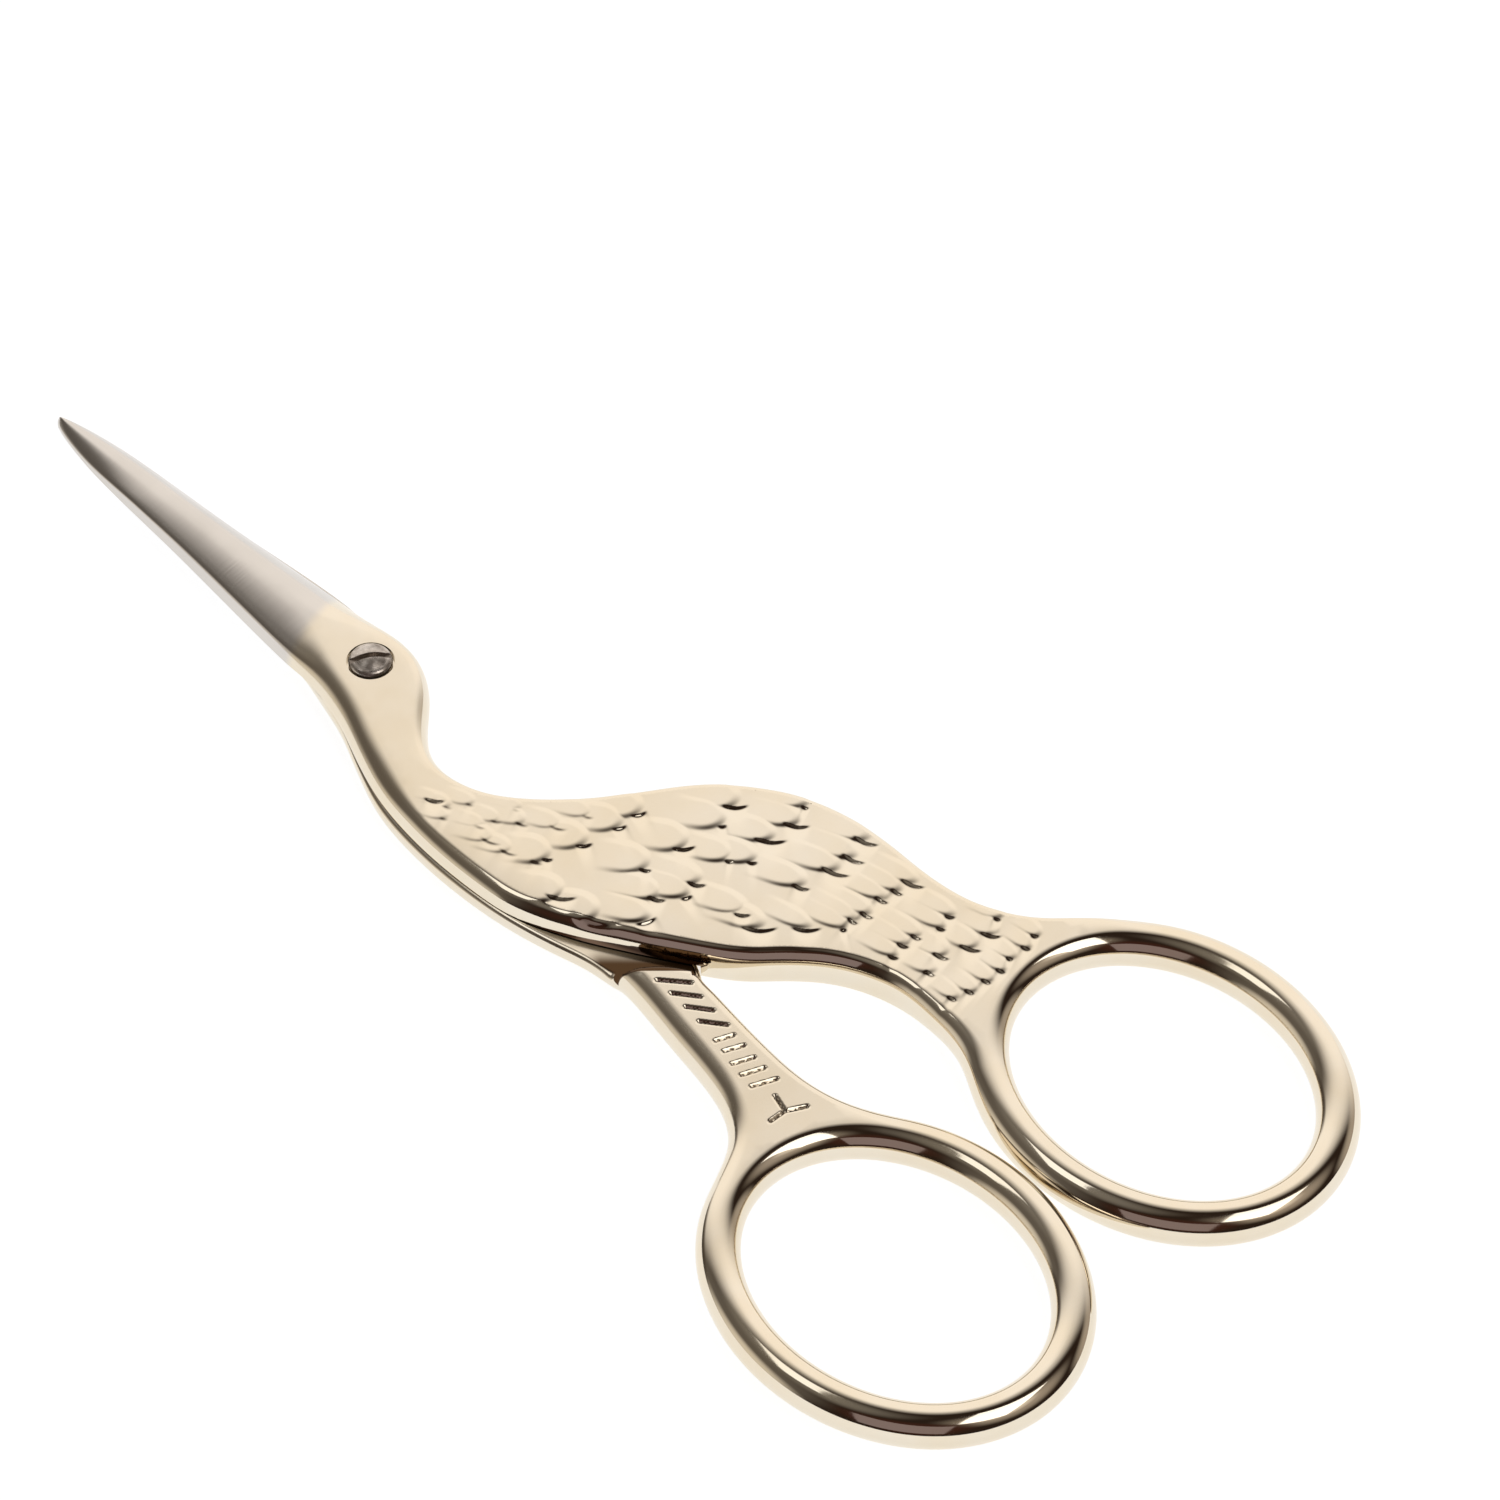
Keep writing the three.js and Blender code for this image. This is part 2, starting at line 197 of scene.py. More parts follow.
def inscribed_radius(loop: Array, normals: Array, others: Array) -> Array:
    """Radius of the largest circle inside the metal that touches each edge point.

    Args:
        loop: edge points.
        normals: their unit normals into the metal.
        others: all the edge points of the piece.

    Returns:
        One radius for each point.
    """
    away = others[None, :, :] - loop[:, None, :]
    depth = np.einsum("ijk,ik->ij", away, normals)
    square = np.einsum("ijk,ijk->ij", away, away)
    least, endless = 1e-6, 1e9
    radius = np.where(depth > least, square / (2.0 * np.maximum(depth, least)), endless)
    return radius.min(1)


def segment_distance(x: Array, y: Array, start: Pair, end: Pair) -> Array:
    """Distance of points from a straight stroke.

    Args:
        x: X of the points.
        y: Y of the points.
        start: one end of the stroke.
        end: its other end.

    Returns:
        One distance for each point.
    """
    run_x, run_y = end[0] - start[0], end[1] - start[1]
    share = ((x - start[0]) * run_x + (y - start[1]) * run_y) / (run_x ** 2 + run_y ** 2)
    share = np.clip(share, 0.0, 1.0)
    return np.hypot(x - start[0] - share * run_x, y - start[1] - share * run_y)


def hex_grid(low: Pair, high: Pair, pitch: float) -> Array:
    """Points of an even three-cornered grid in a box.

    Args:
        low: lowest corner.
        high: highest corner.
        pitch: distance between neighbours.

    Returns:
        Points, one row each.
    """
    rows = np.arange(low[1], high[1], pitch * math.sqrt(0.75))
    columns = np.arange(low[0], high[0], pitch)
    x, y = np.meshgrid(columns, rows)
    x = x + pitch / 2.0 * (np.arange(len(rows)) % 2)[:, None]
    return np.stack([x.ravel(), y.ravel()], 1)


def mesh_object(name: str, points: Array, faces: list) -> Object:
    """Makes a mesh object in the scene from points in millimetres.

    Args:
        name: name of the object.
        points: corners, one row each.
        faces: corner numbers of each face.

    Returns:
        The object.
    """
    mesh = bpy.data.meshes.new(name)
    mesh.from_pydata((points * MM).tolist(), [], faces)
    mesh.update()
    piece = bpy.data.objects.new(name, mesh)
    bpy.context.scene.collection.objects.link(piece)
    return piece


def unit(start: Array | Pair, end: Array | Pair) -> Array:
    """Unit vector in the plan from one point to another."""
    run = np.subtract(end, start)
    return run / np.linalg.norm(run)


def search_tree(points: Array) -> KDTree:
    """Tree that finds the nearest of some points in the plan."""
    tree = KDTree(len(points))
    for i, (x, y) in enumerate(points):
        tree.insert((x, y, 0.0), i)
    tree.balance()
    return tree


def read_rows(items: bpy.types.bpy_prop_collection, name: str) -> Array:
    """Three numbers of each corner or face of a mesh, one row each."""
    values = np.empty(len(items) * 3)
    items.foreach_get(name, values)
    return values.reshape(-1, 3)


def shade(piece: Object, sharp: float, carve: Array, material: Material) -> None:
    """Shades a piece smoothly between its sharp edges, and gives it its painted shade and its material.

    Args:
        piece: the object.
        sharp: angle in degrees above which an edge is sharp.
        carve: share of painted shade at each corner of the mesh.
        material: the finish.
    """
    mesh = piece.data
    mesh.shade_smooth()
    mesh.set_sharp_from_angle(angle=math.radians(sharp))
    mesh.attributes.new("carve", "FLOAT", "POINT").data.foreach_set("value", carve)
    mesh.materials.clear()
    mesh.materials.append(material)


def prism(name: str, outline: Path, bottom: float, top: float) -> Object:
    """Makes a cutting tool: an upright prism over a counter-clockwise outline.

    Args:
        name: name of the tool.
        outline: corners of the outline.
        bottom: lower height.
        top: upper height.

    Returns:
        The tool's object.
    """
    count = len(outline)
    points = np.array([(x, y, z) for z in (bottom, top) for x, y in outline])
    faces = [tuple(reversed(range(count))), tuple(range(count, 2 * count))]
    faces += [(i, (i + 1) % count, count + (i + 1) % count, count + i) for i in range(count)]
    return mesh_object(name, points, faces)


def circle(radius: float, count: int) -> Path:
    """Counter-clockwise points round the pivot axis."""
    turns = [2.0 * math.pi * i / count for i in range(count)]
    return [(radius * math.cos(turn), radius * math.sin(turn)) for turn in turns]


def cut_away(piece: Object, tools: list[Object]) -> None:
    """Cuts the tools out of a piece for good, and takes the tools out of the scene.

    Args:
        piece: the object that is cut.
        tools: closed objects to cut away.
    """
    for tool in tools:
        cut = piece.modifiers.new(tool.name, "BOOLEAN")
        cut.operation = "DIFFERENCE"
        cut.solver = "MANIFOLD"
        cut.object = tool
    bpy.context.view_layer.update()
    rough = piece.data
    graph = bpy.context.evaluated_depsgraph_get()
    piece.data = bpy.data.meshes.new_from_object(piece.evaluated_get(graph))
    piece.data.name = piece.name
    piece.modifiers.clear()
    bpy.data.meshes.remove(rough)
    for tool in tools:
        bpy.data.meshes.remove(tool.data)


@dataclass(frozen=True)
class FineLines:
    """Fine parallel marks in a surface: direction in radians, how far they are drawn out, and size."""

    turn: float
    stretch: float
    width: float
    strength: float
    depth: float


@dataclass(frozen=True)
class PlatedForging:
    """Forged steel, mirror polished and plated pale champagne gold, with bare ground blades.

    The plating gives a warm, nearly flawless mirror with faint smudges and hairlines. The blade and
    the faces that ride on each other are ground after plating, so they are greyer and satin. The
    hairlines and grinding lines are finer on the real pair; they are as coarse as they need to be to
    show.
    """

    plate: str = "#EAE3D6"
    plate_warm: str = "#E5D6BA"
    steel: str = "#DBD6D0"
    steel_dull: str = "#CEC9C3"
    # dark brown of the painted shade in the carving and in the corner before the leg
    painted_shade: str = "#543F2B"
    plate_roughness: Pair = (0.045, 0.10)
    steel_roughness: Pair = (0.15, 0.22)
    plating_line: float = -5.55
    plating_slant: float = 0.32
    plating_softness: float = 0.55
    plating_waver: float = 0.9
    ride_end: float = 17.6
    ride_softness: float = 0.1
    soft_polish: float = 0.09
    soft_reach: Pair = (3.0, 15.0)
    smudge_size: float = 7.0
    smudge_spread: Pair = (0.35, 0.7)
    wave_size: float = 5.0
    wave_height: float = 0.012
    hairlines: FineLines = FineLines(0.5, 40.0, 0.12, 0.25, 0.0015)
    grinding: FineLines = FineLines(0.0, 30.0, 0.16, 0.5, 0.006)
    # painted shade on the plate in the narrow corner before the leg
    corner_line: Points = ()
    corner_reach: Pair = (3.4, 1.87)
    corner_blur: float = 0.05
    corner_height: Pair = (1.5, 1.54)
    corner_run: Pair = (-2.6, -1.2)

    def material(self, name: str) -> Material:
        """Builds the material.

        Args:
            name: name of the material.

        Returns:
            The material.
        """
        material, tree = new_tree(name)
        place = add_node(tree, "TexCoord", out="Object")
        smudge = add_node(tree, "TexNoise", {
            "Vector": place, "Scale": 1.0 / (self.smudge_size * MM), "Detail": 4.0, "Roughness": 0.6},
            "Fac")
        bare = self._bare_steel(tree, place, smudge)
        carve = add_node(tree, "Attribute", out="Fac", attribute_name="carve")

        colour, steel = (
            add_node(tree, "Mix", {0: smudge, 6: linear(clean), 7: linear(worn)}, 2, data_type="RGBA")
            for clean, worn in ((self.plate, self.plate_warm), (self.steel, self.steel_dull)))
        # Painted shade is laid in the carving and, where a corner line is given, in the corner before the
        # leg.
        layers = [(bare, steel), (carve, linear(self.painted_shade))]
        if self.corner_line:
            layers.append((self._corner(tree, place), linear(self.painted_shade)))
        for share, over in layers:
            colour = add_node(tree, "Mix", {0: share, 6: colour, 7: over}, 2, data_type="RGBA")

        low, high = self.smudge_spread
        plate_gloss, steel_gloss = (add_node(tree, "MapRange", {
            "Value": smudge, "From Min": low, "From Max": high, "To Min": least, "To Max": most})
            for least, most in (self.plate_roughness, self.steel_roughness))
        along = add_node(tree, "SeparateXYZ", {0: place}, "X")
        handled = add_node(tree, "MapRange", {
            "Value": along, "From Min": self.soft_reach[0] * MM, "From Max": self.soft_reach[1] * MM,
            "To Min": self.soft_polish, "To Max": 0.0}, interpolation_type="SMOOTHSTEP")
        plate_gloss = add_node(tree, "Math", {0: plate_gloss, 1: handled}, operation="ADD")
        roughness = add_node(tree, "Mix", {0: bare, 2: plate_gloss, 3: steel_gloss}, data_type="FLOAT")
        surface = add_node(tree, "BsdfPrincipled", {
            "Base Color": colour, "Metallic": 1.0, "Roughness": roughness,
            "Normal": self._fine_marks(tree, place, bare)})
        add_node(tree, "OutputMaterial", {"Surface": surface})
        return material

    def _bare_steel(self, tree: NodeTree, place: NodeSocket, smudge: NodeSocket) -> NodeSocket:
        """Share of bare steel: the blade past the plating line, and the ground riding faces.

        Args:
            tree: the material's node tree.
            place: position socket.
            smudge: soft noise that makes the line uneven.

        Returns:
            A socket from 0, plated, to 1, bare.
        """
        x, y = (add_node(tree, "SeparateXYZ", {0: place}, axis) for axis in "XY")
        line = add_node(tree, "Math", {0: y, 1: self.plating_slant, 2: x}, operation="MULTIPLY_ADD")
        line = add_node(tree, "Math", {0: smudge, 1: self.plating_waver * MM, 2: line},
                        operation="MULTIPLY_ADD")
        blade, reach = (add_node(tree, "MapRange", {
            "Value": value, "From Min": (end - blur) * MM, "From Max": (end + blur) * MM,
            "To Min": 1.0, "To Max": 0.0}, interpolation_type=ease) for value, end, blur, ease in (
                (line, self.plating_line, self.plating_softness, "SMOOTHSTEP"),
                (x, self.ride_end, self.ride_softness, "LINEAR")))
        ride = add_node(tree, "Attribute", out="Fac", attribute_name="ride")
        ride = add_node(tree, "Math", {0: ride, 1: reach}, operation="MULTIPLY")
        return add_node(tree, "Math", {0: blade, 1: ride}, operation="MAXIMUM")

    def _corner(self, tree: NodeTree, place: NodeSocket) -> NodeSocket:
        """Share of painted shade on the plate in the narrow corner before the leg, where little light gets
        in.

        Args:
            tree: the material's node tree.
            place: position socket.

        Returns:
            A socket from 0, unshaded, to 1, fully shaded.
        """
        near, far = self.corner_line
        along_x, along_y = unit(near, far)
        axes = ((along_y, -along_x, 0.0), (along_x, along_y, 0.0))
        past, run = (add_node(tree, "VectorMath", {0: place, 1: axis}, "Value", operation="DOT_PRODUCT")
                     for axis in axes)
        step, begin = (near[0] * axis[0] + near[1] * axis[1] for axis in axes)
        height = add_node(tree, "SeparateXYZ", {0: place}, "Z")
        share = 1.0
        for value, clear, full, ease in (
                (past, step - self.corner_reach[0], step - self.corner_reach[1], "SMOOTHSTEP"),
                (past, step + self.corner_blur, step, "LINEAR"),
                (height, *self.corner_height, "LINEAR"),
                (run, begin + self.corner_run[0], begin + self.corner_run[1], "SMOOTHSTEP")):
            mask = add_node(tree, "MapRange", {
                "Value": value, "From Min": clear * MM, "From Max": full * MM}, interpolation_type=ease)
            share = add_node(tree, "Math", {0: share, 1: mask}, operation="MULTIPLY")
        return share

    def _fine_marks(self, tree: NodeTree, place: NodeSocket, bare: NodeSocket) -> NodeSocket:
        """Normals with polishing waves and hairlines, and grinding lines on the bare steel.

        Args:
            tree: the material's node tree.
            place: position socket.
            bare: share of bare steel.

        Returns:
            The normal socket.
        """
        waves = add_node(tree, "TexNoise", {
            "Vector": place, "Scale": 1.0 / (self.wave_size * MM), "Detail": 1.0}, "Fac")
        normal = add_node(tree, "Bump", {
            "Height": waves, "Strength": 1.0, "Distance": self.wave_height * MM})
        for lines, mask in ((self.hairlines, 1.0), (self.grinding, bare)):
            drawn = add_node(tree, "Mapping", {
                "Vector": place, "Rotation": (0.0, 0.0, lines.turn), "Scale": (lines.stretch, 1.0, 1.0)})
            height = add_node(tree, "TexNoise", {
                "Vector": drawn, "Scale": 1.0 / (lines.stretch * lines.width * MM), "Detail": 2.0}, "Fac")
            height = add_node(tree, "Math", {0: height, 1: mask}, operation="MULTIPLY")
            normal = add_node(tree, "Bump", {
                "Height": height, "Strength": lines.strength, "Distance": lines.depth * MM,
                "Normal": normal})
        return normal


@dataclass(frozen=True)
class TurnedSteel:
    """Turned steel screw: grey, with fine rings from the lathe, dull where the driver slips, and painted
    shade on the slot's floor.
    """

    steel: str = "#CEC6BE"
    dull: str = "#9A9188"
    # colour of the painted shade on the slot's floor
    painted_slot_shade: str = "#665A50"
    roughness: Pair = (0.22, 0.40)
    ring_pitch: float = 0.12
    ring_strength: float = 0.12
    blotch_size: float = 0.7
    blotch_spread: Pair = (0.38, 0.66)
    wear_strength: float = 0.5
    wear_depth: float = 0.05

    def material(self, name: str) -> Material:
        """Builds the material.

        Args:
            name: name of the material.

        Returns:
            The material.
        """
        material, tree = new_tree(name)
        place = add_node(tree, "TexCoord", out="Object")
        blotch = add_node(tree, "TexNoise", {
            "Vector": place, "Scale": 1.0 / (self.blotch_size * MM), "Detail": 5.0, "Roughness": 0.65},
            "Fac")
        spread = add_node(tree, "MapRange", {
            "Value": blotch, "From Min": self.blotch_spread[0], "From Max": self.blotch_spread[1]})
        carve = add_node(tree, "Attribute", out="Fac", attribute_name="carve")
        colour = linear(self.steel)
        # the carve attribute lays painted shade on the slot's floor
        for share, over in ((spread, self.dull), (carve, self.painted_slot_shade)):
            colour = add_node(tree, "Mix", {0: share, 6: colour, 7: linear(over)}, 2, data_type="RGBA")
        roughness = add_node(tree, "MapRange", {
            "Value": spread, "To Min": self.roughness[0], "To Max": self.roughness[1]})
        flat = add_node(tree, "VectorMath", {0: place, 1: (1.0, 1.0, 0.0)}, operation="MULTIPLY")
        radius = add_node(tree, "VectorMath", {0: flat}, "Value", operation="LENGTH")
        rings = add_node(tree, "Math", {0: radius, 1: self.ring_pitch / 2.0 * MM}, operation="PINGPONG")
        turned = add_node(tree, "Bump", {
            "Height": rings, "Strength": self.ring_strength, "Distance": 1.0})
        worn = add_node(tree, "Bump", {
            "Height": blotch, "Strength": self.wear_strength, "Distance": self.wear_depth * MM,
            "Normal": turned})
        surface = add_node(tree, "BsdfPrincipled", {
            "Base Color": colour, "Metallic": 1.0, "Roughness": roughness, "Normal": worn})
        add_node(tree, "OutputMaterial", {"Surface": surface})
        return material


@dataclass(frozen=True)
class FeatherRow:
    """One row of feathers across the body.

    Each tip is X, Y, the length of the chisel nick under it and the nick's direction in degrees.
    """

    lean: float
    length: float
    width: float
    rise: float
    cut: float
    tips: tuple[tuple[float, float, float, float], ...]


@dataclass(frozen=True)
class Feathers:
    """Chased feathers: soft overlapping lobes, each undercut at its tip by a chisel nick."""

    lobe_height: float = 0.44
    lobe_overhang: float = 0.3
    lobe_shift: float = 0.28
    lobe_shoulder: float = 0.6
    lobe_climb: Pair = (-1.0, 0.7)
    nick_width: float = 0.10
    nick_runout: float = 0.65
    nick_reach: float = 0.6
    nick_bow: Pair = (0.16, 0.3)
    nick_fade: float = 1.5
    nick_full_length: float = 1.5
    nick_full_cut: float = 0.1
    nick_least: float = 0.6
    # share and spread of the painted shade on the nicks' floors
    nick_shade: float = 0.7
    nick_shade_edge: Pair = (0.5, 2.5)
    rows: tuple[FeatherRow, ...] = (
        FeatherRow(25.0, 2.8, 1.5, 0.06, 0.03, (
            (13.97, -5.02, 0.8, 30.0), (14.63, -5.86, 0.6, 30.0), (14.91, -3.65, 0.6, 25.0),
            (16.94, -4.5, 0.9, 25.0), (17.33, -3.33, 0.8, 30.0), (17.5, -1.52, 0.6, 25.0))),
        FeatherRow(28.0, 3.6, 1.9, 0.08, 0.04, (
            (18.42, -4.86, 1.6, 20.0), (18.75, -2.15, 1.0, 25.0), (20.03, -4.59, 1.4, 20.0),
            (20.76, -0.51, 1.3, 28.0), (21.43, 1.75, 0.8, 30.0), (22.09, -3.71, 0.9, 25.0))),
        FeatherRow(25.0, 2.0, 1.2, 0.05, 0.13, ((12.9, -5.26, 1.4, 35.0),)),
        FeatherRow(40.0, 4.0, 3.0, 0.15, 0.12, (
            (23.7, 4.6, 1.1, 70.0), (23.7, 2.75, 1.0, 70.0), (23.2, -0.16, 1.1, 60.0),
            (22.4, -2.95, 0.7, 50.0), (25.6, -4.6, 2.1, 38.0))),
        FeatherRow(36.0, 4.4, 3.2, 0.16, 0.13, (
            (27.8, 10.1, 1.7, 48.0), (28.5, 8.2, 0.6, 62.0), (28.2, 4.85, 1.5, 55.0),
            (27.8, 1.5, 0.8, 42.0), (28.7, -4.1, 3.3, 30.0))),
        FeatherRow(30.0, 4.4, 2.6, 0.15, 0.13, (
            (31.2, 13.7, 0.5, 30.0), (32.0, 12.1, 1.8, 38.0), (31.8, 9.8, 2.2, 42.0),
            (32.4, 7.5, 0.7, 50.0), (31.2, 6.4, 0.5, 40.0), (31.2, 3.26, 1.3, 38.0),
            (31.6, 1.95, 0.9, 75.0), (30.3, 0.3, 1.2, 33.0), (31.3, -1.6, 1.5, 72.0))),
        FeatherRow(24.0, 5.0, 2.5, 0.14, 0.13, (
            (36.4, 14.7, 1.8, 22.0), (37.0, 12.95, 1.7, 20.0), (37.0, 11.2, 2.1, 25.0),
            (36.4, 8.5, 1.2, 28.0), (35.4, 3.75, 1.2, 38.0), (37.2, 3.8, 2.3, 46.0))),
        FeatherRow(16.0, 4.6, 1.9, 0.11, 0.12, (
            (41.5, 14.5, 1.7, 24.0), (41.3, 13.2, 0.9, 15.0), (41.1, 11.9, 1.0, 15.0),
            (41.4, 10.2, 1.0, 15.0), (41.1, 9.1, 0.8, 12.0), (41.2, 8.1, 0.5, 60.0),
            (39.4, 6.2, 2.0, 45.0))),
        FeatherRow(12.0, 4.0, 1.7, 0.10, 0.11, (
            (45.4, 14.4, 0.8, 38.0), (45.8, 13.2, 0.7, 35.0), (45.2, 11.4, 0.8, 20.0),
            (45.1, 10.2, 0.9, 28.0), (45.4, 9.0, 0.8, 35.0))),
        FeatherRow(12.0, 3.2, 2.1, 0.11, 0.12, (
            (47.8, 16.7, 0.6, 30.0), (48.6, 15.4, 1.4, 35.0), (48.5, 13.5, 1.5, 28.0),
            (47.6, 11.5, 1.2, 18.0), (48.2, 9.9, 0.8, 10.0))),
        FeatherRow(4.0, 2.8, 1.5, 0.09, 0.11, (
            (50.7, 17.6, 0.6, 35.0), (51.1, 16.4, 0.7, 25.0), (51.0, 14.9, 0.5, 30.0),
            (51.4, 13.7, 0.7, 22.0), (51.4, 12.3, 0.7, 15.0), (51.3, 10.8, 0.7, 15.0),
            (50.9, 9.5, 0.7, 15.0))),
    )

    def relief(self, x: Array, y: Array) -> Array:
        """Height of the feathers over the plain face.

        Args:
            x: X of the points.
            y: Y of the points.

        Returns:
            Height at each point.
        """
        lobes = np.zeros_like(x)
        for row in self.rows:
            for tip_x, tip_y, _, _ in row.tips:
                lobes = np.maximum(lobes, self._lobe(x, y, tip_x, tip_y, row))
        return lobes + self._nicks(x, y)[0]

    def carve(self, x: Array, y: Array) -> Array:
        """Share of painted shade in the nicks, from 0 to 1."""
        return self.nick_shade * np.clip(self._nicks(x, y)[1], 0.0, 1.0)

    def _lobe(self, x: Array, y: Array, tip_x: float, tip_y: float, row: FeatherRow) -> Array:
        """One feather: a crowned tongue that rises from its root to its tip.

        Args:
            x: X of the points.
            y: Y of the points.
            tip_x: X of the nick under the tip.
            tip_y: Y of the nick under the tip.
            row: the row that the feather is in.

        Returns:
            Height at each point.
        """
        turn = math.radians(row.lean)
        dx, dy = x - tip_x, y - tip_y
        length, width = row.length / 2.0, row.width / 2.0
        along = (dx * math.cos(turn) + dy * math.sin(turn) + length - self.lobe_overhang) / length
        across = (-dx * math.sin(turn) + dy * math.cos(turn) - self.lobe_shift * row.width) / width
        tip = np.clip(along, 0.0, None) ** 2
        crown = smoothstep(1.0 - tip - across ** 2, 0.0, self.lobe_shoulder)
        return self.lobe_height * row.rise * smoothstep(along, *self.lobe_climb) * crown

    def _nicks(self, x: Array, y: Array) -> tuple[Array, Array]:
        """Chisel nicks: a steep drop off each feather's tip that runs out at both ends.

        Args:
            x: X of the points.
            y: Y of the points.

        Returns:
            Height at each point, and the share of the nick's depth.
        """
        height, depth = np.zeros_like(x), np.zeros_like(x)
        for row in self.rows:
            for tip_x, tip_y, length, angle in row.tips:
                turn = math.radians(angle)
                along = (x - tip_x) * math.cos(turn) + (y - tip_y) * math.sin(turn)
                across = (x - tip_x) * math.sin(turn) - (y - tip_y) * math.cos(turn)
                share = along / (self.nick_reach * length)
                across = across - self.nick_bow[0] * length * (self.nick_bow[1] - share ** 2)
                fade = np.clip(1.0 - share ** 2, 0.0, None) ** self.nick_fade
                drop = fade * smoothstep(across, -self.nick_width, self.nick_width)
                strength = row.cut * lerp(self.nick_least, 1.0, min(1.0, length / self.nick_full_length))
                height -= strength * drop * np.exp(-np.clip(across, 0.0, None) / self.nick_runout)
                # painted shade on the nick's floor
                floor = 1.0 - smoothstep(across, *(edge * self.nick_width for edge in self.nick_shade_edge))
                depth += min(1.0, row.cut / self.nick_full_cut) * drop * floor
        return height, depth


@dataclass(frozen=True)
class LegMarks:
    """Lines and a three-toed foot cut into the top of the leg with a round graver."""

    depth: float = 0.19
    width: float = 0.40
    chatter: float = 0.14
    chatter_waves: Points = ((9.0, 14.0), (17.0, -6.0))
    strokes: tuple[tuple[float, float, float, float], ...] = (
        (35.67, -4.55, 37.50, -2.95), (37.20, -4.63, 38.87, -3.30),
        (38.78, -4.70, 40.37, -3.47), (40.38, -4.88, 41.97, -3.63),
        (42.42, -5.20, 42.92, -3.92), (43.50, -5.38, 44.08, -4.00),
        (44.72, -5.72, 45.33, -4.20), (45.88, -5.92, 46.50, -4.30),
        (47.08, -6.08, 47.80, -4.33),
        (50.25, -5.83, 48.83, -5.45), (50.25, -5.83, 51.00, -4.42), (50.25, -5.83, 50.22, -7.17),
    )

    def share(self, x: Array, y: Array) -> Array:
        """Depth of the cut at each point, from 0 to 1.

        Args:
            x: X of the points.
            y: Y of the points.

        Returns:
            Share of the full depth at each point.
        """
        deepest = np.zeros_like(x)
        for start_x, start_y, end_x, end_y in self.strokes:
            away = segment_distance(x, y, (start_x, start_y), (end_x, end_y))
            turn = np.clip(2.0 * away / self.width, 0.0, 1.0) * math.pi
            deepest = np.maximum(deepest, 0.5 + 0.5 * np.cos(turn))
        return deepest

    def relief(self, x: Array, y: Array) -> Array:
        """Height of the marks: cuts with a slightly uneven floor, as a graver leaves."""
        coarse, fine = (np.sin(across * x + along * y) for across, along in self.chatter_waves)
        return -self.depth * self.share(x, y) * (1.0 + self.chatter * coarse * fine)


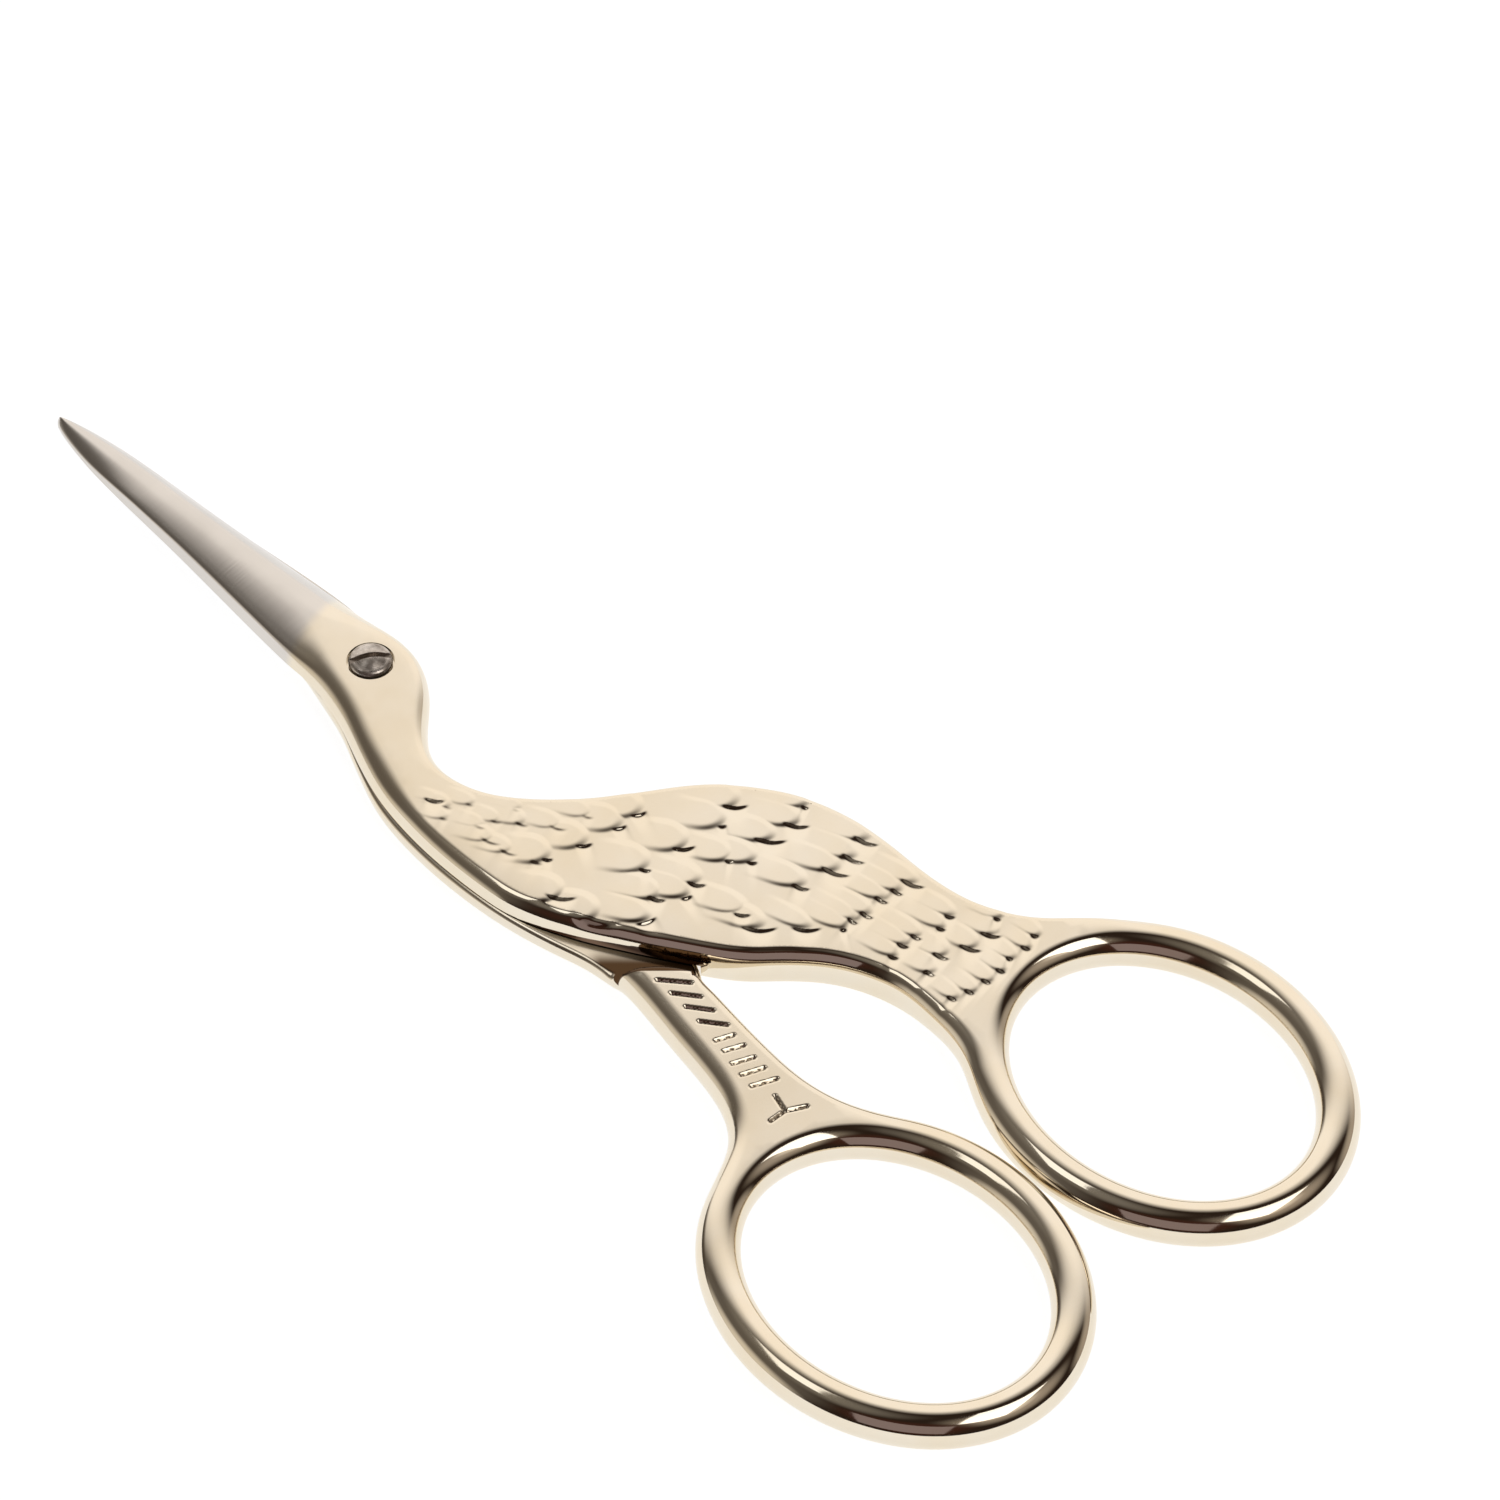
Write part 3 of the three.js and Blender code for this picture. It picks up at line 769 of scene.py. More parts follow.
@dataclass
class ForgedHalf:
    """What both forged halves share: thickness, blade, finger ring and the way they are cut.

    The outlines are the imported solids', apart from tenths of a millimetre that bring the halves nearer
    to the photograph.
    """

    half: Half = Half.FRONT
    name: str = "half"
    half_thickness: float = 1.6
    parting_gap: float = 0.1
    edge_round: Pair = (1.15, 0.8)
    neck_round: Pair = (1.7, 1.1)
    ring_round: float = 1.61
    blade_length: float = 34.15
    blade_root: float = 5.1
    tip_taper: float = 4.4
    tip_radius: float = 0.45
    tip_height: float = 0.55
    blade_axis: Pair = (-0.36, -0.72)
    spine_offset: Pair = (3.45, 1.42)
    edge_cover: float = 0.3
    ground_width: Pair = (3.3, 1.2)
    bevel_curve: float = 2.3
    grind_runout: Pair = (0.5, 7.5)
    spine_curve: float = 1.9
    wall_lean: float = 0.11
    wall_rise: Pair = (0.69, 0.77)
    wall_crease: float = 0.06
    crest_tilt: Pair = (0.26, 0.08)
    tip_thinning: Pair = (0.62, 0.9)
    tip_wall_loss: float = 0.5
    rim_limit: float = 0.97
    facing: Pair = (-0.6, 0.6)
    neck_end: Pair = (8.0, 14.0)
    ring_start: Pair = (50.0, 56.0)
    head_start: Pair = (-7.0, -1.0)
    outline_fairing: float = 1.1
    width_fairing: float = 0.8
    width_faired_from: float = -3.0
    ring_centre_x: float = 65.2
    ring_axis_y: float = 3.38
    ring_gap: float = 0.36
    ring_hole: Pair = (11.9, 9.3)
    ring_tube: float = 3.22
    arc_step: float = 12.0
    bore: float = 0.95
    bore_corners: int = 64
    step: float = 0.2
    levels: int = 12
    fine_pitch: float = 0.115
    coarse_pitch: float = 0.6
    rim_clearance: float = 0.55
    relief_rise: Pair = (0.6, 0.9)
    carved_heights: Pair = (2.6, 2.9)
    sharp_angle: float = 50.0
    tool_reach: float = 3.0
    carved_box: Points = ()
    arc: Pair = (0.0, 360.0)
    breast_line: Points = (
        (-2.2, -3.82), (1.8, -4.7), (5.8, -6.25), (9.7, -7.45), (14.6, -8.03),
        (19.6, -7.95), (23.5, -7.48), (27.4, -6.22), (31.3, -4.0))
    neck_line: Points = (
        (21.8, 6.5), (19.6, 3.2), (16.8, 0.1), (14.4, -1.75), (11.4, -2.6), (9.0, -2.2),
        (7.0, -0.75), (4.8, 1.5), (3.2, 2.6))
    plate_end: Points = ((36.7, -1.6), (23.3, 6.45))
    finish: PlatedForging = field(default_factory=PlatedForging)

    @property
    def thickness(self) -> float:
        """Full thickness."""
        return 2.0 * self.half_thickness

    @property
    def inner_face(self) -> float:
        """Height of the face that rides on the other half."""
        return self.half_thickness + self.half.value * self.parting_gap / 2.0

    @property
    def ring_outer(self) -> Pair:
        """Semi-axes of the ring's outside."""
        return self.ring_hole[0] + self.ring_tube, self.ring_hole[1] + self.ring_tube

    @property
    def ring_centre(self) -> Pair:
        """Centre of this half's finger ring."""
        from_axis = self.ring_outer[1] + self.ring_gap / 2.0
        return self.ring_centre_x, self.ring_axis_y + self.half.value * from_axis

    def ring_arc(self) -> Path:
        """Free outer arc of the ring, counter-clockwise."""
        start, end = self.arc
        count = int(round((end - start) / self.arc_step))
        turns = [math.radians(lerp(start, end, i / count)) for i in range(count + 1)]
        return [(self.ring_centre[0] + self.ring_outer[0] * math.cos(turn),
                 self.ring_centre[1] + self.ring_outer[1] * math.sin(turn)) for turn in turns]

    def hole(self) -> Array:
        """Finger hole, clockwise, so that the metal lies on its left."""
        count = int(round(math.pi * sum(self.ring_hole) / self.step))
        turns = -2.0 * math.pi * np.arange(count) / count
        return np.stack([self.ring_centre[0] + self.ring_hole[0] * np.cos(turns),
                         self.ring_centre[1] + self.ring_hole[1] * np.sin(turns)], 1)

    def beside_axis(self, from_pivot: float, offset: float) -> Pair:
        """Point beside the line that the blades mirror each other in."""
        share = (from_pivot - self.blade_root) / (self.blade_length - self.blade_root)
        return -from_pivot, float(lerp(self.blade_axis[0], self.blade_axis[1], share)) + offset

    def blade_side(self, side: int, cover: float) -> Path:
        """One side of the blade from its root to just behind the tip.

        Args:
            side: +1 towards +Y, -1 towards -Y.
            cover: how far the side is moved in from the line of the spine.

        Returns:
            Points along the side.
        """
        taper_start = self.blade_length - self.tip_taper
        root, taper = self.spine_offset
        middle = ((self.blade_root + taper_start) / 2.0, (root + taper) / 2.0)
        stations = ((self.blade_root, root), middle, (taper_start, taper))
        points = [self.beside_axis(x, side * (offset - cover)) for x, offset in stations]
        return points + [self.beside_axis(self.blade_length - self.tip_radius, side * self.tip_radius)]

    def cutting_edge(self) -> Path:
        """Cutting edge from root to tip."""
        tip = self.beside_axis(self.blade_length, 0.0)
        return self.blade_side(self.half.value, self.edge_cover) + [tip]

    def spine(self) -> Path:
        """Spine from root to just behind the tip."""
        return self.blade_side(-self.half.value, 0.0)

    def knots(self) -> Path:
        """Points of the outline, counter-clockwise."""
        raise NotImplementedError

    def round_at(self, loop: Array) -> Array:
        """Plan width of the rounded edge: wider towards -Y and on the neck, full on the ring."""
        far = smoothstep(-inward_normals(loop)[:, 1], *self.facing)
        neck = 1.0 - smoothstep(loop[:, 0], *self.neck_end)
        near_ring = smoothstep(loop[:, 0], *self.ring_start)
        body = lerp(lerp(*self.edge_round, far), lerp(*self.neck_round, far), neck)
        return lerp(body, self.ring_round, near_ring)

    def relief(self, x: Array, y: Array) -> Array:
        """Height of the carving over the plain face."""
        raise NotImplementedError

    def carve(self, x: Array, y: Array) -> Array:
        """Share of painted shade in the carving."""
        raise NotImplementedError

    def tools(self) -> list[Object]:
        """Tools that cut the forging to its shape."""
        raise NotImplementedError

    def outline(self) -> Array:
        """Outline with the blade left crisp and the curves of the rest evened out."""
        loop = closed_curve(np.array(self.knots()), self.step)
        soft = faired(loop, self.step, self.outline_fairing)
        return lerp(loop, soft, smoothstep(loop[:, 0], *self.head_start)[:, None])

    def to_tip(self, x: Array) -> Array:
        """Share of the way from the blade's root to its tip."""
        return np.clip((-x - self.blade_root) / (self.blade_length - self.blade_root), 0.0, 1.0)

    def edge_rings(self, loop: Array, everything: Array) -> Array:
        """Rounded, bevelled or ground edge over a loop, from the lower face to the upper.

        Args:
            loop: points of the outline or the hole.
            everything: points of both.

        Returns:
            Positions by level and point.
        """
        normals = inward_normals(loop)
        x, y = loop[:, 0], loop[:, 1]
        to_tip = self.to_tip(x)
        cutting = (self.half.value * (y - lerp(*self.blade_axis, to_tip)) > 0.0).astype(float)
        ground = smoothstep(-x, *self.grind_runout)
        bevel, spine = ground * cutting, ground * (1.0 - cutting)
        limit = self.rim_limit * inscribed_radius(loop, normals, everything)
        width = np.minimum(lerp(self.round_at(loop), lerp(*self.ground_width, to_tip), ground), limit)
        even = np.minimum(faired(width, self.step, self.width_fairing), limit)
        width = np.where(x > self.width_faired_from, even, width)
        loss = self.tip_wall_loss * smoothstep(to_tip, *self.tip_thinning)
        wall = lerp(*self.wall_rise, to_tip) * (1.0 - loss)
        bottom, middle, top = self.section_heights(loop)

        rings = []
        for level in range(-self.levels, self.levels + 1):
            share = abs(level) / self.levels
            turn = share * math.pi / 2.0
            up_facet = self.wall_crease * math.log1p(math.exp((2.0 * share - 1.0) / self.wall_crease))
            up_wall = 2.0 * share - up_facet
            to_crest = max(0.0, 1.0 - up_facet)
            facet_rise = 1.0 - lerp(to_crest ** self.spine_curve, to_crest, self.crest_tilt[0])
            convex = 1.0 - (1.0 - share) ** self.bevel_curve
            convex += self.crest_tilt[1] * share ** 2 * (1.0 - share)
            inset = lerp(lerp(1.0 - math.cos(turn), share, bevel),
                         self.wall_lean * up_wall + (1.0 - self.wall_lean) * up_facet, spine)
            spine_rise = wall * up_wall + (1.0 - wall) * facet_rise
            rise = lerp(lerp(math.sin(turn), convex, bevel), spine_rise, spine)
            plan = loop + normals * (width * inset)[:, None]
            z = middle + (top - middle if level > 0 else bottom - middle) * rise
            rings.append(np.column_stack([plan, z]))
        return np.array(rings)

    def section_heights(self, loop: Array) -> tuple[Array, Array, Array]:
        """Heights of the lower rim, the widest line and the upper rim of the edge."""
        height = self.face_height(loop[:, 0])
        middle = np.full(len(loop), self.half_thickness)
        return middle - height, middle, middle + height

    def face_points(self, rims: list[Array], low: Pair, high: Pair, pitch: float) -> Array:
        """Grid points on a face, inside its rims.

        Args:
            rims: outer rim and hole rim, metal on the left.
            low: lowest corner of the grid.
            high: highest corner of the grid.
            pitch: grid pitch.

        Returns:
            Points inside the rims, clear of them.
        """
        rim = np.vstack(rims)
        normals = np.vstack([inward_normals(r) for r in rims])
        tree = search_tree(rim)
        kept = []
        for x, y in hex_grid(low, high, pitch):
            (near_x, near_y, _), i, away = tree.find((x, y, 0.0))
            inside = (x - near_x) * normals[i][0] + (y - near_y) * normals[i][1] > 0.0
            if inside and away > self.rim_clearance * pitch:
                kept.append((x, y))
        return np.array(kept).reshape(-1, 2)

    def face(self, rims: list[Array], inner: Array) -> list[tuple[int, int, int]]:
        """Triangles of a face between its rims, through its grid points.

        Args:
            rims: outer rim and hole rim.
            inner: grid points.

        Returns:
            Corner numbers, counted over the rims and then the grid points.
        """
        plan = [Vector(p) for p in np.vstack(rims + [inner])]
        edges, start = [], 0
        for rim in rims:
            edges += [(start + i, start + (i + 1) % len(rim)) for i in range(len(rim))]
            start += len(rim)
        _, _, faces, origin, _, _ = delaunay_2d_cdt(plan, edges, [], 1, 1e-7)
        corners = [tuple(origin[i][0] for i in face) for face in faces]
        hole = range(len(rims[0]), start)
        return [face for face in corners if not all(i in hole for i in face)]

    def blank(self) -> tuple[Array, list]:
        """Forging before it is cut: edges, lower face and carved upper face.

        Returns:
            Points and faces.
        """
        loops = [self.outline(), self.hole()]
        everything = np.vstack(loops)
        points, faces, starts, rings, total = [], [], [], [], 0
        for loop in loops:
            ring = self.edge_rings(loop, everything)
            count = len(loop)
            for level in range(len(ring) - 1):
                low = total + level * count
                faces += [(low + i, low + (i + 1) % count, low + count + (i + 1) % count, low + count + i)
                          for i in range(count)]
            starts.append(total)
            rings.append(ring)
            points.append(ring.reshape(-1, 3))
            total += ring.shape[0] * count

        for level, flip in ((0, True), (-1, False)):
            rims = [ring[level][:, :2] for ring in rings]
            low, high = rims[0].min(0), rims[0].max(0)
            inner = self.face_points(rims, low, high, self.coarse_pitch)
            if not flip:
                low, high = (np.array(corner) for corner in self.carved_box)
                outside = np.any((inner < low) | (inner > high), axis=1)
                inner = np.vstack([inner[outside], self.face_points(rims, low, high, self.fine_pitch)])
            last = 0 if flip else 2 * self.levels
            numbers = [start + last * len(rim) + np.arange(len(rim)) for start, rim in zip(starts, rims)]
            numbers = np.concatenate([*numbers, total + np.arange(len(inner))])
            for corner in self.face(rims, inner):
                a, b, c = (int(numbers[i]) for i in corner)
                faces.append((a, c, b) if flip else (a, b, c))
            z = self.half_thickness + (-1.0 if flip else 1.0) * self.face_height(inner[:, 0])
            points.append(np.column_stack([inner, z]))
            total += len(inner)

        points = np.vstack(points)
        rise = (points[:, 2] - self.half_thickness) / self.face_height(points[:, 0])
        points[:, 2] += self.relief(points[:, 0], points[:, 1]) * smoothstep(rise, *self.relief_rise)
        return points, faces

    def face_height(self, x: Array) -> Array:
        """Height of the faces above and below the parting plane."""
        return lerp(self.half_thickness, self.tip_height, self.to_tip(x) ** 2)

    def layer_tool(self, near: Array, far: Array, bulge: float, bottom: float, top: float) -> Object:
        """Tool that clears one layer on the blade side of a line across the half.

        Args:
            near: end of the line towards -Y.
            far: end of the line towards +Y.
            bulge: how far the middle of the line is rounded forward.
            bottom: lower height of the layer.
            top: upper height of the layer.

        Returns:
            The tool's object.
        """
        along = unit(near, far)
        forward = np.array([-along[1], along[0]])
        overlap, margin, reach, cuts = 4.0, 5.0, 40.0, 24
        before, after = near - overlap * along, far + overlap * along
        share = np.linspace(0.0, 1.0, cuts)[:, None]
        control = (near + far) / 2.0 + 2.0 * bulge * forward
        line = (1 - share) ** 2 * near + 2 * share * (1 - share) * control + share ** 2 * far
        left = -self.blade_length - margin
        outline = [(left, -reach), (before[0], -reach), tuple(before)] + [tuple(p) for p in line]
        outline += [tuple(after), (after[0], reach), (left, reach)]
        return prism(f"{self.name}_layer", outline, bottom, top)

    def build(self) -> Object:
        """Makes the finished half.

        Returns:
            The half's object, dressed and riding on its body.
        """
        points, faces = self.blank()
        piece = mesh_object(f"{self.name}_plated", points, faces)
        cut_away(piece, self.tools())
        self.dress(piece)
        return piece

    def dress(self, piece: Object) -> None:
        """Gives the half its shading, its masks and its finish.

        Args:
            piece: the half's object.
        """
        mesh = piece.data
        x, y, z = read_rows(mesh.vertices, "co").T / MM
        # Painted shade in the carving, kept to the upper face.
        carve = self.carve(x, y) * smoothstep(z, *self.carved_heights)
        shade(piece, self.sharp_angle, carve, self.finish.material(f"{self.name}_plated_forging"))

        heights = read_rows(mesh.polygons, "center")[:, 2] / MM
        level = np.abs(read_rows(mesh.polygons, "normal")[:, 2])
        ride = (np.abs(heights - self.inner_face) < SAME_HEIGHT) & (level > NEARLY_LEVEL)
        mesh.attributes.new("ride", "FLOAT", "FACE").data.foreach_set("value", ride.astype(float))
        # A flat face of long triangles mirrors cleanly only if it is shaded flat.
        mesh.polygons.foreach_set("use_smooth", ~(ride & (level > DEAD_LEVEL)))
        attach(piece, Body[self.half.name].value)
        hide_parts(self.name)


@dataclass
class FrontHalf(ForgedHalf):
    """The bird: upper blade, head, neck, feathered body, tail and finger ring."""

    half: Half = Half.FRONT
    name: str = "front_half"
    edge_cover: float = 0.02
    belly_end: Points = ((35.4, -1.35),)
    tail_underside: Points = (
        (38.4, 0.8), (40.5, 3.2), (42.8, 5.35), (45.6, 6.8), (48.7, 7.5), (51.8, 7.55), (54.4, 7.0))
    wing_line: Points = (
        (51.7, 22.2), (49.0, 19.1), (45.4, 17.1), (41.4, 16.4), (37.4, 16.35), (33.5, 15.9),
        (29.8, 14.6), (26.6, 12.5), (23.9, 9.8))
    crown_line: Points = ((1.3, 3.3), (-0.6, 3.35), (-2.6, 3.15))
    arc: Pair = (-125.0, 141.0)
    rebate_clearance: float = 0.4
    seat_radius: float = 1.75
    seat_depth: float = 0.4
    seat_corners: int = 96
    belly_start: Pair = (22.0, 28.0)
    belly_stop: Pair = (46.0, 51.0)
    belly_lean: float = 0.25
    belly_widest: float = 0.9
    near_facing: Pair = (0.2, 0.6)
    breast_drop: float = 0.08
    breast_reach: float = 3.0
    breast_start: Pair = (4.0, 10.0)
    breast_lead: float = 1.0
    breast_easing: Pair = (24.0, 33.0)
    breast_eased: float = 0.3
    breast_stop: Pair = (42.0, 48.0)
    carved_box: Points = ((10.5, -9.0), (52.6, 20.0))
    feathers: Feathers = field(default_factory=Feathers)

    def knots(self) -> Path:
        """Points of the outline, counter-clockwise."""
        return [*reversed(self.spine()), *self.breast_line, *self.belly_end, *self.tail_underside,
                *self.ring_arc(), *self.wing_line, *self.neck_line, *self.crown_line,
                *self.cutting_edge()]

    def belly_share(self, loop: Array) -> Array:
        """1 along the belly and the tail's underside, 0 elsewhere."""
        near = smoothstep(inward_normals(loop)[:, 1], *self.near_facing)
        x = loop[:, 0]
        return near * smoothstep(x, *self.belly_start) * (1.0 - smoothstep(x, *self.belly_stop))

    def outline(self) -> Array:
        """Outline with the belly drawn in, as its wall leans."""
        loop = super().outline()
        return loop + inward_normals(loop) * (self.belly_lean * self.belly_share(loop))[:, None]

    def section_heights(self, loop: Array) -> tuple[Array, Array, Array]:
        """Heights of the edge: the belly is widest low down."""
        bottom, middle, top = super().section_heights(loop)
        return bottom, lerp(middle, self.belly_widest, self.belly_share(loop)), top

    def relief(self, x: Array, y: Array) -> Array:
        """Feathers on the body, and its sloping breast."""
        return self.feathers.relief(x, y) - self.breast_fall(x, y)

    def breast_fall(self, x: Array, y: Array) -> Array:
        """How far the face slopes down towards the breast's edge, less along the belly.

        Args:
            x: X of the points.
            y: Y of the points.

        Returns:
            Fall at each point.
        """
        loop = self.outline()
        start, stop = self.breast_start[0] - self.breast_lead, self.breast_stop[1]
        near = inward_normals(loop)[:, 1] > self.near_facing[0]
        edge = loop[near & (loop[:, 0] > start) & (loop[:, 0] < stop)]
        along = edge[:, 0]
        weight = smoothstep(along, *self.breast_start) * (1.0 - smoothstep(along, *self.breast_stop))
        weight = weight * lerp(1.0, self.breast_eased, smoothstep(along, *self.breast_easing))
        tree = search_tree(edge)
        fall = np.zeros_like(x)
        for i in range(len(x)):
            _, at, away = tree.find((x[i], y[i], 0.0))
            fall[i] = weight[at] * max(0.0, 1.0 - away / self.breast_reach) ** 2
        return self.breast_drop * fall

    def carve(self, x: Array, y: Array) -> Array:
        """Share of painted shade in the nicks."""
        return self.feathers.carve(x, y)

    def tools(self) -> list[Object]:
        """Rebate over the rear half's plate, bore and the seat of the screw's head."""
        near, far = (np.array(p) for p in self.plate_end)
        along = unit(near, far)
        away = self.rebate_clearance * np.array([along[1], -along[0]])
        above, below = self.thickness + self.tool_reach, -self.tool_reach
        seat = self.thickness - self.seat_depth
        return [self.layer_tool(near + away, far + away, 0.0, below, self.inner_face),
                prism("front_bore", circle(self.bore, self.bore_corners), below, above),
                prism("front_seat", circle(self.seat_radius, self.seat_corners), seat, above)]


@dataclass
class RearHalf(ForgedHalf):
    """Lower blade, the plate under the bird, the leg and its finger ring."""

    half: Half = Half.REAR
    name: str = "rear_half"
    edge_round: Pair = (1.5, 1.0)
    plate_round: float = 0.4
    plate_widest: float = 1.15
    breast_ledge: float = 0.33
    ledge_reach: Pair = (1.8, 10.0)
    neck_inset: float = 0.08
    heel: Points = ((-0.6, 2.55),)
    chin: Points = ((-1.2, -3.95),)
    leg_front: Points = (
        (27.6, -6.85), (30.1, -6.1), (33.7, -6.0), (39.6, -6.9), (43.6, -7.5), (46.6, -8.3), (49.0, -9.9))
    leg_back: Points = ((53.0, -1.3), (51.0, -2.1), (48.5, -2.5), (44.0, -2.35), (39.4, -1.9))
    plate_corner: Points = ((37.25, -1.69), (36.75, -1.27), (35.5, -0.57))
    plate_end_shares: tuple[float, ...] = (0.2, 0.5, 0.9, 1.0)
    arc: Pair = (-163.0, 133.0)
    step_line: Points = ((33.2, -6.0), (37.0, -1.85))
    step_bulge: float = 0.6
    step_ease: Pair = (-0.7, 0.2)
    plate_start: Pair = (-3.0, 1.0)
    corner_crisp: float = 2.5
    rim_drop: float = 0.005
    nose_round: float = 0.5
    nose_fall: float = 0.8
    # share of painted shade in the leg's engraved lines
    mark_shade: float = 0.6
    carved_box: Points = ((32.0, -8.2), (52.2, -1.4))
    marks: LegMarks = field(default_factory=LegMarks)
    # the rear half's plate gets painted shade in the corner before the step of the leg
    finish: PlatedForging = field(default_factory=lambda: PlatedForging(
        corner_line=RearHalf.step_line, soft_reach=(46.0, 54.0)))

    def knots(self) -> Path:
        """Points of the outline, counter-clockwise."""
        near, far = (np.array(p) for p in self.plate_end)
        end = [*self.plate_corner, *(tuple(lerp(near, far, share)) for share in self.plate_end_shares)]
        ledge = [(x, y - self.breast_ledge * float(smoothstep(np.array(x), *self.ledge_reach)))
                 for x, y in self.breast_line[1:-2]]
        neck = np.array(self.neck_line)
        along = np.gradient(neck, axis=0)
        along[[0, -1]] = neck[1] - neck[0], neck[-1] - neck[-2]
        right = np.stack([along[:, 1], -along[:, 0]], 1) / np.linalg.norm(along, axis=1, keepdims=True)
        back = [tuple(p) for p in (neck - self.neck_inset * right)[1:]]
        return [*reversed(self.cutting_edge()), *self.chin, *ledge, *self.leg_front,
                *self.ring_arc(), *self.leg_back, *end, *back, *self.heel, *self.spine()]

    def outline(self) -> Array:
        """Outline with the corner of the plate beside the leg left crisp."""
        loop, soft = closed_curve(np.array(self.knots()), self.step), super().outline()
        away = np.linalg.norm(loop - np.array(self.plate_corner[0]), axis=1, keepdims=True)
        return lerp(soft, loop, np.exp(-(away / self.corner_crisp) ** 2))

    def round_at(self, loop: Array) -> Array:
        """Tighter edge on the plate, wide on the leg, full on the ring."""
        leg = smoothstep(self.past_step(loop[:, 0], loop[:, 1]), *self.step_ease)
        return lerp(self.plate_round, super().round_at(loop), leg)

    def section_heights(self, loop: Array) -> tuple[Array, Array, Array]:
        """Heights of the edge: on the plate its upper rim is just under the riding face."""
        bottom, middle, top = super().section_heights(loop)
        x, y = loop[:, 0], loop[:, 1]
        plate = smoothstep(x, *self.plate_start) * (1.0 - smoothstep(self.past_step(x, y), *self.step_ease))
        rim = self.inner_face - self.rim_drop
        return bottom, lerp(middle, self.plate_widest, plate), lerp(top, rim, plate)

    def past_step(self, x: Array, y: Array) -> Array:
        """Distance of points behind the bulging step in front of the leg; negative on the plate."""
        near, far = self.step_line
        along = unit(near, far)
        run = (x - near[0]) * along[0] + (y - near[1]) * along[1]
        share = np.clip(run / math.dist(near, far), 0.0, 1.0)
        front = 4.0 * self.step_bulge * share * (1.0 - share)
        return (x - near[0]) * along[1] - (y - near[1]) * along[0] + front

    def relief(self, x: Array, y: Array) -> Array:
        """Marks on the leg, and the rounded top of its nose."""
        short = np.clip(1.0 - self.past_step(x, y) / self.nose_round, 0.0, 1.0)
        nose = self.nose_round * (1.0 - np.sqrt(np.clip(1.0 - short ** 2, 0.0, 1.0)))
        return self.marks.relief(x, y) - self.nose_fall * nose

    def carve(self, x: Array, y: Array) -> Array:
        """Share of painted shade in the marks."""
        return self.mark_shade * self.marks.share(x, y)

    def tools(self) -> list[Object]:
        """The step in front of the leg, and the bore."""
        near, far = (np.array(p) for p in self.step_line)
        above = self.thickness + self.tool_reach
        return [self.layer_tool(near, far, self.step_bulge, self.inner_face, above),
                prism("rear_bore", circle(self.bore, self.bore_corners), -self.tool_reach, above)]


@dataclass
class PivotScrew:
    """Screw through both halves: plain shank, raised head with a rounded edge and one slot."""

    name: str = "pivot_screw"
    shank_radius: float = 0.9
    head_radius: float = 1.6
    head_bottom: float = 2.9
    head_top: float = 3.9
    head_round: float = 0.4
    head_chamfer: float = 0.06
    end_chamfer: float = 0.12
    crown: float = 0.34
    slot_width: float = 0.45
    slot_depth: float = 0.5
    slot_angle: float = 58.0
    # share of painted shade on the slot's floor
    slot_grime: float = 0.75
    sharp_angle: float = 40.0
    segments: int = 128
    round_points: int = 13
    crown_rows: int = 10
    finish: TurnedSteel = field(default_factory=TurnedSteel)

    def profile(self) -> Path:
        """Half section from the flush end up to the middle of the crowned head.

        Returns:
            Radius and height of each point.
        """
        points = [(0.0, 0.0), (self.shank_radius - self.end_chamfer, 0.0),
                  (self.shank_radius, self.end_chamfer), (self.shank_radius, self.head_bottom),
                  (self.head_radius - self.head_chamfer, self.head_bottom),
                  (self.head_radius, self.head_bottom + self.head_chamfer)]
        edge_top = self.head_top - self.crown
        flat = self.head_radius - self.head_round
        for turn in np.linspace(0.0, math.pi / 2.0, self.round_points):
            points.append((flat + self.head_round * math.cos(turn),
                           edge_top - self.head_round * (1.0 - math.sin(turn))))
        for share in np.linspace(1.0, 0.0, self.crown_rows + 1)[1:]:
            points.append((flat * share, edge_top + self.crown * (1.0 - share ** 2)))
        return points

    def build(self) -> Object:
        """Makes the screw.

        Returns:
            The screw's object, dressed and riding on the rear half.
        """
        points, rows = [], []
        for radius, height in self.profile():
            if radius == 0.0:
                rows.append([len(points)] * self.segments)
                points.append((0.0, 0.0, height))
                continue
            rows.append(list(range(len(points), len(points) + self.segments)))
            points += [(x, y, height) for x, y in circle(radius, self.segments)]
        faces = []
        for low, high in zip(rows, rows[1:]):
            for i in range(self.segments):
                j = (i + 1) % self.segments
                faces.append(tuple(dict.fromkeys((low[i], low[j], high[j], high[i]))))
        piece = mesh_object(f"{self.name}_turned", np.array(points), faces)

        turn = math.radians(self.slot_angle)
        along, across = (math.cos(turn), math.sin(turn)), (-math.sin(turn), math.cos(turn))
        reach, half = 2.0 * self.head_radius, self.slot_width / 2.0
        outline = [(a * along[0] + b * across[0], a * along[1] + b * across[1])
                   for a, b in ((-reach, -half), (reach, -half), (reach, half), (-reach, half))]
        floor = self.head_top - self.slot_depth
        cut_away(piece, [prism("slot", outline, floor, self.head_top + 1.0)])

        # Painted shade on the slot's floor.
        heights = read_rows(piece.data.vertices, "co")[:, 2] / MM
        carve = self.slot_grime * (np.abs(heights - floor) < SAME_HEIGHT)
        shade(piece, self.sharp_angle, carve, self.finish.material("turned_steel_screw"))
        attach(piece, Body.REAR.value)
        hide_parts(self.name)
        return piece


@dataclass(frozen=True)
class Softbox:
    """One cloth-fronted lamp, placed by its direction as seen from the scissors.

    The azimuth is 0 towards the camera and grows towards the right of the picture. The width and the
    height are in metres.
    """

    name: str
    azimuth: float
    elevation: float
    roll: float
    width: float
    height: float
    radiance: float
    colour: str


